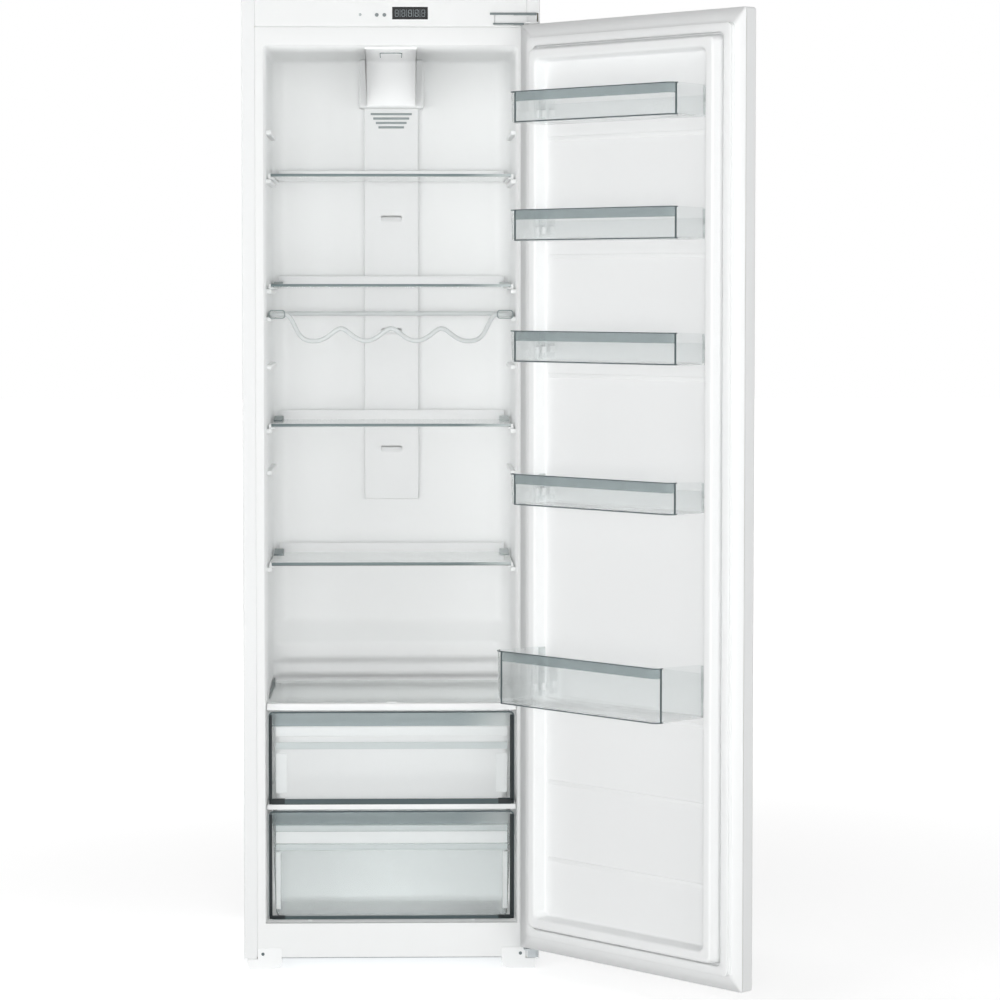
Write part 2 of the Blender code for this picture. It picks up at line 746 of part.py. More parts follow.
def rib_heights():
    """The top of each pair of runner ribs, under every shelf, the rack, the cover and the divider."""
    shelves = [CAVITY_FLOOR + share * CAVITY_HEIGHT for share in SHELF_SHARES]
    tops = [height - SHELF_GLASS - FRAME_UNDER - 2 * SEAT_GAP for height in shelves]
    tops += [CAVITY_FLOOR + share * CAVITY_HEIGHT for share in SPARE_RIB_SHARES]
    tops.append(RACK_HEIGHT - RACK_WIRE - SEAT_GAP)
    tops.append(COVER_SEAT - COVER_RAIL_HEIGHT - SEAT_GAP)
    tops.append(DIVIDER_TOP - DIVIDER_HEIGHT - SEAT_GAP)
    return tops


def liner_ribs():
    """All runner ribs as one tool: side bars with tapered noses, and two low floor bars."""
    outline = rounded([
        (RIB_FRONT, 0, RIB_NOSE / 2),
        (RIB_FRONT + RIB_LENGTH, 0, 0),
        (RIB_FRONT + RIB_LENGTH, RIB_HEIGHT, 0),
        (RIB_FRONT, RIB_HEIGHT, RIB_NOSE),
    ])
    sunk = LINER_WALL / 2
    pieces = []
    for top in rib_heights():
        for side in (-1, 1):
            middle = side * (CAVITY_HALF + sunk / 2 - RIB_REACH / 2)
            place = (middle, FRONT, top - RIB_HEIGHT)
            pieces.append(prism("rib", [outline], RIB_REACH + sunk, place, ALONG_X))
    for side in (-1, 1):
        middle = side * FLOOR_RIB_X
        rib_back = STEP_FACE_DEPTH - STEP_RADIUS - RIB_NOSE
        pieces.append(box(
            "floor_rib",
            (middle - FLOOR_RIB_WIDTH / 2, deep(DRAWER_FRONT + RIB_NOSE), CAVITY_FLOOR - sunk),
            (middle + FLOOR_RIB_WIDTH / 2, deep(rib_back), CAVITY_FLOOR + LIP_HEIGHT),
        ))
    return gather("liner_ribs", pieces)


def build_liner():
    """The moulded cavity liner: front frame and apron, lip, step, gutter, corners and ribs."""
    outline = rectangle(-FRAME_HALF, FRAME_HALF, BASE_PLATE + SEAT_GAP, FASCIA_BOTTOM - SEAT_GAP, FOLD_RADIUS)
    place = (0, deep(LINER_WALL / 2), 0)
    liner = prism("inner_liner", [rounded(outline)], LINER_WALL, place, ALONG_Y, WHITE_PLASTIC, PARTS)
    join(liner, cavity_solid("liner_outside", LINER_WALL, LINER_WALL / 2))
    cut(liner, cavity_solid("liner_inside", 0, -CUT_OVERRUN))
    join(liner, liner_ribs())
    return liner


def build_insulation():
    """The foam between the panels and the liner, with the compressor space and fascia notch."""
    low = BASE_PLATE + SEAT_GAP
    front = LINER_WALL + SEAT_GAP
    section = [
        (front, low, 0),
        (COMPARTMENT_FRONT, low, 0),
        (COMPARTMENT_FRONT, COMPARTMENT_TOP, 0),
        (FOAM_BACK, COMPARTMENT_TOP, 0),
        (FOAM_BACK, FOAM_TOP, 0),
        (FASCIA_DEPTH + SEAT_GAP, FOAM_TOP, 0),
        (FASCIA_DEPTH + SEAT_GAP, FASCIA_BOTTOM - SEAT_GAP, 0),
        (front, FASCIA_BOTTOM - SEAT_GAP, 0),
    ]
    place = (0, FRONT, 0)
    foam = prism("cabinet_insulation", [rounded(section)], 2 * INSIDE_HALF, place, ALONG_X, FOAM, PARTS)
    cut(foam, cavity_solid("foam_inside", LINER_WALL + SEAT_GAP, -CUT_OVERRUN))
    low_z = CAVITY_FLOOR + EVAPORATOR_SHARE * CAVITY_HEIGHT
    high_z = low_z + (EVAPORATOR_RUNS - 1) * EVAPORATOR_PITCH
    reach = EVAPORATOR_HALF + EVAPORATOR_PITCH / 2 + POCKET_MARGIN
    pocket_back = LINER_BACK + 2 * EVAPORATOR_TUBE + 2 * SEAT_GAP
    cut(foam, box(
        "evaporator_pocket",
        (-reach, deep(CAVITY_DEPTH), low_z - POCKET_MARGIN),
        (reach, deep(pocket_back), high_z + POCKET_MARGIN),
    ))
    return foam


def serpentine(runs, pitch, half, low_z, depth):
    """Points of a tube that runs to and fro across X and climbs by a pitch at each bend."""
    points = []
    bend = pitch / 2
    for index in range(runs):
        height = low_z + index * pitch
        side = 1 if index % 2 == 0 else -1
        points.append(Vector((-side * half, deep(depth), height)))
        points.append(Vector((side * half, deep(depth), height)))
        if index == runs - 1:
            break
        for step in range(1, BEND_STEPS):
            angle = math.pi * step / BEND_STEPS
            across = side * (half + bend * math.sin(angle))
            points.append(Vector((across, deep(depth), height + bend - bend * math.cos(angle))))
    return points


def build_cabinet_shell():
    """The folded side sheets, the top and rear sheets and the base plate."""
    corners = [
        (-HALF_WIDTH + SIDE_RETURN, 0, 0),
        (-HALF_WIDTH, 0, FOLD_RADIUS),
        (-HALF_WIDTH, BODY_DEPTH, FOLD_RADIUS),
        (-HALF_WIDTH + REAR_RETURN, BODY_DEPTH, 0),
    ]
    middle = (0, FRONT, BODY_HEIGHT / 2)
    back_first = list(reversed(corners))
    folded_sheet("side_panel_left", back_first, BODY_HEIGHT, SHEET, middle, UNTURNED, WHITE_STEEL, PARTS)
    mirrored = [(-x, y, radius) for x, y, radius in corners]
    name = "side_panel_right"
    right = folded_sheet(name, mirrored, BODY_HEIGHT, SHEET, middle, UNTURNED, WHITE_STEEL, PARTS)
    notch_low, notch_high = top_bracket_levels()
    cut(right, box(
        "hinge_notch",
        (HALF_WIDTH - SIDE_RETURN - CUT_OVERRUN, FRONT - CUT_OVERRUN, notch_low - SEAT_GAP),
        (HALF_WIDTH - FOLD_RADIUS - SHEET, deep(FOLD_RADIUS), notch_high + SEAT_GAP),
    ))
    top_front = FASCIA_DEPTH + SEAT_GAP
    box(
        "top_panel",
        (-INSIDE_HALF, deep(top_front), BODY_HEIGHT - SHEET),
        (INSIDE_HALF, deep(REAR_SKIN_DEPTH - FOLD_RADIUS / 2), BODY_HEIGHT),
        WHITE_STEEL,
        PARTS,
    )
    rear_top = BODY_HEIGHT - SHEET - SEAT_GAP
    box(
        "rear_panel",
        (-INSIDE_HALF + FOLD_RADIUS / 2, deep(REAR_SKIN_DEPTH - SHEET), COMPARTMENT_TOP),
        (INSIDE_HALF - FOLD_RADIUS / 2, deep(REAR_SKIN_DEPTH), rear_top),
        WHITE_STEEL,
        PARTS,
    )
    build_base_plate()


def build_base_plate():
    """The steel floor under the cabinet: a pressed middle field, and vents beside the compressor."""
    base_front = SHEET + SEAT_GAP
    outline = rounded(rectangle(-INSIDE_HALF, INSIDE_HALF, base_front, REAR_SKIN_DEPTH, FOLD_RADIUS))
    middle = (COMPARTMENT_FRONT + REAR_SKIN_DEPTH) / 2
    vents = []
    for index in range(BASE_VENT_COUNT):
        left = BASE_VENT_LEFT + index * BASE_VENT_PITCH
        reach = BASE_VENT_LENGTH / 2 - abs(index - (BASE_VENT_COUNT - 1) / 2) * BASE_VENT_STEP
        slot = rectangle(left, left + BASE_VENT_WIDTH, middle - reach, middle + reach, BASE_VENT_WIDTH / 3)
        vents.append(rounded(slot))
    place = (0, FRONT, BASE_PRESS + SHEET / 2)
    plate = prism("base_plate", [outline, *vents], SHEET, place, UNTURNED, ZINC_STEEL, PARTS)
    field_half = HALF_WIDTH - BASE_FIELD_SIDE
    field_back = COMPARTMENT_FRONT - BASE_FIELD_BACK_GAP
    field = rectangle(-field_half, field_half, BASE_FIELD_FRONT, field_back, BASE_FIELD_RADIUS)
    join(plate, prism("pressed_field", [rounded(field)], SHEET, (0, FRONT, SHEET / 2)))
    hollow = rounded(grown(field, -SHEET))
    cut(plate, prism("field_hollow", [hollow], 2 * BASE_PRESS, (0, FRONT, BASE_PLATE)))
    return plate


def build_feet():
    """Two skid feet with front tabs and fixing holes, and two turned rear feet."""
    for side, name in ((-1, "front_foot_left"), (1, "front_foot_right")):
        outer = HALF_WIDTH - FOOT_EDGE
        inner = outer - FOOT_WIDTH
        corners = [
            (inner, -FOOT_HEIGHT, FOOT_INNER_RADIUS),
            (outer, -FOOT_HEIGHT, FOOT_OUTER_RADIUS),
            (outer, -SEAT_GAP, 0),
            (inner, -SEAT_GAP, 0),
        ]
        tab = rectangle(inner, inner + FOOT_TAB_WIDTH, -FOOT_HEIGHT / 2, FOOT_TAB_RISE, FOLD_RADIUS)
        if side < 0:
            corners = [(-x, z, radius) for x, z, radius in reversed(corners)]
            tab = [(-x, z, radius) for x, z, radius in reversed(tab)]
        length = FOOT_LENGTH + FOOT_FRONT
        place = (0, deep(length / 2 - FOOT_FRONT), 0)
        foot = prism(name, [rounded(corners)], length, place, ALONG_Y, WHITE_PLASTIC, PARTS)
        tab_depth = FOOT_FRONT - SEAT_GAP
        tab_place = (0, deep(-FOOT_FRONT + tab_depth / 2), 0)
        join(foot, prism(f"{name}_tab", [rounded(tab)], tab_depth, tab_place, ALONG_Y))
        cut(foot, rod(
            f"{name}_hole",
            FOOT_SCREW_RADIUS,
            2 * CUT_OVERRUN,
            place=(side * FOOT_SCREW_X, FRONT, FOOT_SCREW_HEIGHT),
            turn=ALONG_Y,
        ))
    for side, name in ((-1, "rear_foot_left"), (1, "rear_foot_right")):
        height = FOOT_HEIGHT + BASE_PRESS - SEAT_GAP
        profile = [(0, height)]
        profile += [(wide * REAR_FOOT_RADIUS, up * height) for wide, up in REAR_FOOT_SHARES]
        profile.append((0, 0))
        place = (side * REAR_FOOT_X, deep(REAR_FOOT_DEPTH), -FOOT_HEIGHT)
        turned(name, profile, WHITE_PLASTIC, PARTS, place)


def top_bracket_levels():
    """The lowest and highest point of the upper hinge bracket."""
    high = BODY_HEIGHT - TOP_BRACKET_DROP
    low = DOOR_TOP + COLLAR_RADIUS - PIN_RADIUS
    return low, high


def bracket_tongue(name, low, right, front, back):
    """The flat tongue that carries a hinge pin forward, with rounded front corners."""
    left = HINGE_X - BRACKET_TONGUE_WIDTH / 2
    outline = [
        (left, front, BRACKET_NOSE),
        (right, front, BRACKET_NOSE / 2),
        (right, back, 0),
        (left, back, 0),
    ]
    return prism(name, [rounded(outline)], BRACKET_SHEET, (0, FRONT, low + BRACKET_SHEET / 2))


def upright_rod(name, radius, low, high):
    """A rod on the door's hinge axis between two heights."""
    return rod(name, radius, high - low, place=(HINGE_X, deep(HINGE_DEPTH), (low + high) / 2))


def build_hinges():
    """The two hinge brackets with their pins, collars and mounting plates."""
    low, high = top_bracket_levels()
    right = HALF_WIDTH - FOLD_RADIUS - SHEET - FOLD_RADIUS
    recess = TOP_BRACKET_RECESS + SEAT_GAP
    plate_back = recess + BRACKET_SHEET
    nose = DOOR_OUTER + RUN_GAP
    top = box(
        "hinge_bracket_top",
        (right - TOP_BRACKET_WIDTH, deep(recess), low),
        (right, deep(plate_back), high),
        ZINC_STEEL,
        PARTS,
    )
    tongue_right = HALF_WIDTH - FOLD_RADIUS - SHEET - SEAT_GAP
    join(top, bracket_tongue("top_tongue", low, tongue_right, nose, plate_back - SEAT_GAP))
    join(top, upright_rod("top_pin", PIN_RADIUS, DOOR_TOP - PIN_LENGTH, low + BRACKET_SHEET / 2))
    join(top, upright_rod("top_collar", COLLAR_RADIUS, DOOR_TOP + SEAT_GAP, low + BRACKET_SHEET / 2))

    floor = DOOR_BOTTOM - SEAT_GAP - (COLLAR_RADIUS - PIN_RADIUS) - BRACKET_SHEET
    plate_right = HALF_WIDTH - RUN_GAP
    bottom = box(
        "hinge_bracket_bottom",
        (plate_right - LOW_BRACKET_WIDTH, deep(-BRACKET_SHEET - SEAT_GAP), LOW_BRACKET_FOOT),
        (plate_right, deep(-SEAT_GAP), floor + BRACKET_SHEET),
        ZINC_STEEL,
        PARTS,
    )
    join(bottom, bracket_tongue("low_tongue", floor, plate_right, nose, -BRACKET_SHEET / 2))
    web = [
        (-BRACKET_SHEET / 2, LOW_BRACKET_FOOT + FOLD_RADIUS, 0),
        (-BRACKET_SHEET / 2, floor + BRACKET_SHEET / 2, 0),
        (nose + BRACKET_NOSE, floor + BRACKET_SHEET / 2, 0),
    ]
    web_x = plate_right - LOW_WEB_THICKNESS / 2 - SEAT_GAP
    join(bottom, prism("low_web", [rounded(web)], LOW_WEB_THICKNESS, (web_x, FRONT, 0), ALONG_X))
    join(bottom, upright_rod("low_collar", COLLAR_RADIUS, floor + BRACKET_SHEET / 2, DOOR_BOTTOM - SEAT_GAP))
    join(bottom, upright_rod("low_pin", PIN_RADIUS, floor + BRACKET_SHEET / 2, DOOR_BOTTOM + PIN_LENGTH))


def build_fascia():
    """The control panel's moulding, its display, board and the two sprung buttons."""
    fascia = box(
        "control_fascia",
        (-FRAME_HALF, FRONT, FASCIA_BOTTOM),
        (FRAME_HALF, deep(FASCIA_DEPTH), BODY_HEIGHT),
        WHITE_PLASTIC,
        PARTS,
        FOLD_RADIUS,
    )
    low, high = top_bracket_levels()
    recess_left = HALF_WIDTH - FOLD_RADIUS - SHEET - FOLD_RADIUS - TOP_BRACKET_WIDTH - RUN_GAP
    cut(fascia, box(
        "fascia_hollow",
        (-FRAME_HALF + FASCIA_WALL, deep(FASCIA_WALL), FASCIA_BOTTOM + FASCIA_WALL),
        (recess_left - FASCIA_WALL, deep(FASCIA_DEPTH) + CUT_OVERRUN, BODY_HEIGHT - FASCIA_WALL),
    ))
    cut(fascia, box(
        "hinge_recess",
        (recess_left, FRONT - CUT_OVERRUN, low - RUN_GAP / 2),
        (HALF_WIDTH, deep(TOP_BRACKET_RECESS + BRACKET_SHEET + 2 * SEAT_GAP), high + RUN_GAP / 2),
    ))
    display_top = BODY_HEIGHT - DISPLAY_DROP
    low_corner = Vector((DISPLAY_LEFT, deep(SEAT_GAP), display_top - DISPLAY_HEIGHT))
    high_corner = Vector((DISPLAY_LEFT + DISPLAY_WIDTH, deep(DISPLAY_THICKNESS), display_top))
    box("display_window", low_corner, high_corner, DISPLAY_GLASS, PARTS)
    margin = Vector((SEAT_GAP, CUT_OVERRUN, SEAT_GAP))
    cut(fascia, box("display_opening", low_corner - margin, high_corner + margin))
    board_middle = (FASCIA_BOTTOM + BODY_HEIGHT) / 2
    board_front = DISPLAY_THICKNESS + SEAT_GAP
    box(
        "control_board",
        (-BOARD_WIDTH / 2, deep(board_front), board_middle - BOARD_HEIGHT / 2),
        (BOARD_WIDTH / 2, deep(board_front + BOARD_THICKNESS), board_middle + BOARD_HEIGHT / 2),
        BOARD_GREEN,
        PARTS,
    )
    for name, across in BUTTON_PLACES.items():
        build_button(fascia, name, across)


def build_button(fascia, name, across):
    """One push button: a rounded cap in its bore, with a flange behind the fascia's wall."""
    height = BODY_HEIGHT - BUTTON_DROP
    flange_front = FASCIA_WALL + SEAT_GAP
    cap = BUTTON_PROUD + flange_front + BUTTON_FLANGE / 2
    cap_place = (across, deep(cap / 2 - BUTTON_PROUD), height)
    button = rod(name, BUTTON_RADIUS, cap, WHITE_PLASTIC, PARTS, cap_place, ALONG_Y)
    flange_middle = flange_front + BUTTON_FLANGE / 2
    join(button, rod(
        f"{name}_flange",
        BUTTON_RADIUS + BUTTON_FLANGE,
        BUTTON_FLANGE,
        place=(across, deep(flange_middle), height),
        turn=ALONG_Y,
    ))
    stem_length = DISPLAY_THICKNESS - flange_front - BUTTON_FLANGE
    stem_front = flange_front + BUTTON_FLANGE / 2
    stem_back = stem_front + stem_length
    join(button, rod(
        f"{name}_stem",
        BUTTON_RADIUS / 2,
        stem_back - stem_front,
        place=(across, deep((stem_front + stem_back) / 2), height),
        turn=ALONG_Y,
    ))
    cut(fascia, rod(
        f"{name}_bore",
        BUTTON_RADIUS + SEAT_GAP,
        2 * CUT_OVERRUN,
        place=(across, FRONT - CUT_OVERRUN + FASCIA_WALL * 2, height),
        turn=ALONG_Y,
    ))
    travel = pivot(f"{name}_travel", (across, FRONT, height))
    carry(travel, button)


def build_duct():
    """The air duct on the back wall, its fan housing, grille and vents, and the lamp cover."""
    foot = CAVITY_FLOOR + DUCT_FOOT_SHARE * CAVITY_HEIGHT
    top = CAVITY_TOP - SEAT_GAP
    half = DUCT_WIDTH / 2
    duct = box(
        "duct_cover",
        (-half, deep(DUCT_BACK - DUCT_DEPTH), foot),
        (half, deep(DUCT_BACK + HOUSING_RADIUS), HOUSING_FOOT + HOUSING_RADIUS * 2),
        WHITE_PLASTIC,
        PARTS,
        FOLD_RADIUS,
    )
    housing_half = HOUSING_WIDTH / 2
    join(duct, box(
        "housing_block",
        (-housing_half, deep(DUCT_BACK - HOUSING_DEPTH), HOUSING_FOOT),
        (housing_half, deep(DUCT_BACK + HOUSING_RADIUS * 2), top),
        radius=HOUSING_RADIUS,
    ))
    cut(duct, box(
        "flat_back",
        (-CAVITY_HALF, deep(DUCT_BACK), foot - CUT_OVERRUN),
        (CAVITY_HALF, deep(DUCT_BACK) + CUT_OVERRUN, CAVITY_TOP + CUT_OVERRUN),
    ))
    cut(duct, box(
        "ceiling_relief",
        (-CAVITY_HALF, deep(DUCT_BACK - CEILING_RADIUS), CAVITY_TOP - CEILING_RADIUS),
        (CAVITY_HALF, deep(DUCT_BACK) + CUT_OVERRUN, CAVITY_TOP + CUT_OVERRUN),
    ))
    cut(duct, box(
        "duct_hollow",
        (-half + PLASTIC_WALL, deep(DUCT_BACK - DUCT_DEPTH + PLASTIC_WALL), foot + PLASTIC_WALL),
        (half - PLASTIC_WALL, deep(DUCT_BACK) + CUT_OVERRUN * 2, CAVITY_TOP - HOUSING_RADIUS * 2),
    ))
    hollow_front = DUCT_BACK - HOUSING_DEPTH + PLASTIC_WALL
    cut(duct, box(
        "housing_hollow",
        (-housing_half + PLASTIC_WALL, deep(hollow_front), HOUSING_FOOT + PLASTIC_WALL),
        (housing_half - PLASTIC_WALL, deep(DUCT_BACK) + CUT_OVERRUN * 2, top - PLASTIC_WALL),
    ))
    openings = []
    slot_depth = DUCT_DEPTH
    slot_y = deep(DUCT_BACK - DUCT_DEPTH)
    for index in range(SLIT_COUNT):
        width = SLIT_FIRST_WIDTH - index * SLIT_NARROWING
        height = HOUSING_FOOT - SLIT_FIRST_DROP - index * SLIT_PITCH
        openings.append((width, SLIT_HEIGHT, height))
    for share in VENT_SHARES:
        openings.append((VENT_WIDTH, VENT_HEIGHT, CAVITY_FLOOR + share * CAVITY_HEIGHT))
    slots = []
    for width, tall, height in openings:
        outline = rounded(rectangle(-width / 2, width / 2, -tall / 2, tall / 2, tall / 3))
        slots.append(prism("slot", [outline], slot_depth, (0, slot_y, height), ALONG_Y))
    cut(duct, gather("duct_slots", slots))

    lamp_back = DUCT_BACK - HOUSING_DEPTH - SEAT_GAP
    lamp_half = LAMP_WIDTH / 2
    lamp_low = FAN_HEIGHT - LAMP_HEIGHT / 2
    lamp = box(
        "lamp_cover",
        (-lamp_half, deep(lamp_back - LAMP_DEPTH), lamp_low),
        (lamp_half, deep(lamp_back + LAMP_RADIUS), lamp_low + LAMP_HEIGHT),
        LAMP_PLASTIC,
        PARTS,
        LAMP_RADIUS,
    )
    cut(lamp, box(
        "lamp_hollow",
        (-lamp_half + LAMP_WALL, deep(lamp_back - LAMP_DEPTH + LAMP_WALL), lamp_low + LAMP_WALL),
        (lamp_half - LAMP_WALL, deep(lamp_back) + CUT_OVERRUN, lamp_low + LAMP_HEIGHT - LAMP_WALL),
    ))
    cut(lamp, box(
        "lamp_flat_back",
        (-housing_half, deep(lamp_back), HOUSING_FOOT),
        (housing_half, deep(lamp_back) + CUT_OVERRUN / 2, CAVITY_TOP),
    ))


def blade_section(radius, pitch):
    """One blade's four-point section at a radius, tipped about the blade's length."""
    half = FAN_BLADE_CHORD / 2
    thick = FAN_BLADE_THICKNESS / 2
    ring = []
    for across, up in ((-half, -thick), (half, -thick), (half, thick), (-half, thick)):
        turn = Matrix.Rotation(pitch, 2)
        point = turn @ Vector((across, up))
        ring.append(Vector((radius, point.x, point.y)))
    return ring


def build_fan():
    """The evaporator fan: a motor on the liner's back and a rotor of twisted blades on its shaft."""
    motor_front = DUCT_BACK - MOTOR_LENGTH
    middle = (0, deep(DUCT_BACK - MOTOR_LENGTH / 2), FAN_HEIGHT)
    motor = rod("fan_motor", MOTOR_RADIUS, MOTOR_LENGTH, ZINC_STEEL, PARTS, middle, ALONG_Y)
    shaft_reach = MOTOR_SHAFT_LENGTH + MOTOR_LENGTH / 2
    shaft_middle = motor_front + MOTOR_LENGTH / 2 - shaft_reach / 2
    shaft_place = (0, deep(shaft_middle), FAN_HEIGHT)
    join(motor, rod("motor_shaft", MOTOR_SHAFT_RADIUS, shaft_reach, place=shaft_place, turn=ALONG_Y))

    hub_back = motor_front - SEAT_GAP
    hub_place = (0, deep(hub_back - FAN_HUB_LENGTH / 2), FAN_HEIGHT)
    rotor = rod("fan_rotor", FAN_HUB_RADIUS, FAN_HUB_LENGTH, WHITE_PLASTIC, PARTS, hub_place, ALONG_Y)
    blades = []
    stations = (FAN_HUB_RADIUS - FAN_BLADE_THICKNESS * 2, (FAN_HUB_RADIUS + FAN_RADIUS) / 2, FAN_RADIUS)
    middle_pitch = (FAN_BLADE_ROOT_PITCH + FAN_BLADE_TIP_PITCH) / 2
    pitches = (FAN_BLADE_ROOT_PITCH, middle_pitch, FAN_BLADE_TIP_PITCH)
    for index in range(FAN_BLADES):
        rings = [blade_section(radius, pitch) for radius, pitch in zip(stations, pitches)]
        blade = loft("blade", rings, None)
        angle = math.tau * index / FAN_BLADES
        blade.matrix_world = (
            Matrix.Translation(hub_place) @ ALONG_Y.to_matrix().to_4x4() @ Matrix.Rotation(angle, 4, "Z")
        )
        blades.append(blade)
    join(rotor, gather("fan_blades", blades))
    bore = MOTOR_SHAFT_RADIUS + SEAT_GAP
    bore_length = MOTOR_SHAFT_LENGTH + SEAT_GAP + CUT_OVERRUN
    bore_middle = hub_back - MOTOR_SHAFT_LENGTH - SEAT_GAP + bore_length / 2
    cut(rotor, rod("rotor_bore", bore, bore_length, place=(0, deep(bore_middle), FAN_HEIGHT), turn=ALONG_Y))
    carry(pivot("fan_axis", hub_place), rotor)


def build_shelf(number, share):
    """A glass shelf in a frame with a front bar, corner caps and a raised rear lip."""
    top = CAVITY_FLOOR + share * CAVITY_HEIGHT
    glass_low = top - SHELF_GLASS
    glass_front = SHELF_FRONT + FRAME_BAR + SEAT_GAP
    glass_back = SHELF_BACK - FRAME_BAR - SEAT_GAP
    glass_half = SHELF_HALF - SEAT_GAP
    pane = rectangle(-glass_half, glass_half, glass_front, glass_back, SHELF_CORNER_RADIUS / 2)
    place = (0, FRONT, glass_low + SHELF_GLASS / 2)
    glass = prism(f"shelf_glass_{number}", [rounded(pane)], SHELF_GLASS, place, UNTURNED, CLEAR_GLASS, PARTS)

    frame_top = glass_low - SEAT_GAP
    frame_low = frame_top - FRAME_UNDER
    outer = rectangle(-SHELF_HALF, SHELF_HALF, SHELF_FRONT, SHELF_BACK, SHELF_CORNER_RADIUS)
    hole = rectangle(
        -SHELF_HALF + FRAME_RAIL,
        SHELF_HALF - FRAME_RAIL,
        SHELF_FRONT + FRAME_RAIL,
        SHELF_BACK - FRAME_RAIL,
        SHELF_CORNER_RADIUS,
    )
    outlines = [rounded(outer), rounded(hole)]
    frame_place = (0, FRONT, (frame_low + frame_top) / 2)
    frame = prism(f"shelf_frame_{number}", outlines, FRAME_UNDER, frame_place, UNTURNED, DARK_TRIM, PARTS)
    bar_half = SHELF_HALF - SHELF_CORNER_RADIUS
    bar_low = frame_low - FRAME_LIP
    join(frame, box(
        "bar",
        (-bar_half, deep(SHELF_FRONT - SEAT_GAP), bar_low),
        (bar_half, deep(SHELF_FRONT + FRAME_BAR), top + FRAME_LIP),
    ))
    join(frame, box(
        "rear_lip",
        (-bar_half, deep(SHELF_BACK - FRAME_BAR), bar_low),
        (bar_half, deep(SHELF_BACK + SEAT_GAP), top + FRAME_UPSTAND),
    ))
    for side in (-1, 1):
        ends = sorted((side * (bar_half - FRAME_CAP_WIDTH), side * (bar_half + FRAME_LIP)))
        join(frame, box(
            "cap",
            (ends[0], deep(SHELF_FRONT - FRAME_CAP_DEPTH), bar_low - FRAME_LIP / 2),
            (ends[1], deep(SHELF_FRONT + FRAME_BAR / 2), top + FRAME_LIP * 2),
        ))
    carry(pivot(f"shelf_{number}_travel", (0, deep(SHELF_FRONT), top)), glass, frame)


def rack_height_at(across):
    """The rack wire's drop below its shoulders: troughs every pitch, between two slopes."""
    last_trough = RACK_SHOULDER - RACK_PITCH / 2
    reach = abs(across)
    if reach <= last_trough:
        swing = (RACK_TROUGH_DROP - RACK_PEAK_DROP) / 2
        return -(RACK_TROUGH_DROP + RACK_PEAK_DROP) / 2 + swing * math.cos(math.tau * reach / RACK_PITCH)
    share = min((reach - last_trough) / (RACK_SHOULDER - last_trough), 1)
    return -RACK_TROUGH_DROP * (1 + math.cos(math.pi * share)) / 2


def build_rack():
    """The bottle rack: one closed wire, waved in front, carried on the side ribs, bar at the back."""
    half = SHELF_HALF - RACK_WIRE
    front = SHELF_FRONT + RACK_WIRE
    points = []
    for step in range(RACK_POINTS + 1):
        across = -(half - RACK_CORNER) + 2 * (half - RACK_CORNER) * step / RACK_POINTS
        points.append(Vector((across, deep(front), RACK_HEIGHT + rack_height_at(across))))
    back = [
        (half - RACK_CORNER, front, RACK_CORNER),
        (half, front, RACK_CORNER),
        (half, RACK_BACK, RACK_CORNER),
        (-half, RACK_BACK, RACK_CORNER),
        (-half, front, RACK_CORNER),
        (-half + RACK_CORNER, front, RACK_CORNER),
    ]
    for point in rounded(back, closed=False)[2:-2]:
        points.append(Vector((point.x, deep(point.y), RACK_HEIGHT)))
    rack = tube("wine_rack", points, RACK_WIRE, WHITE_WIRE, PARTS, cyclic=True)
    carry(pivot("rack_travel", (0, deep(front), RACK_HEIGHT)), rack)


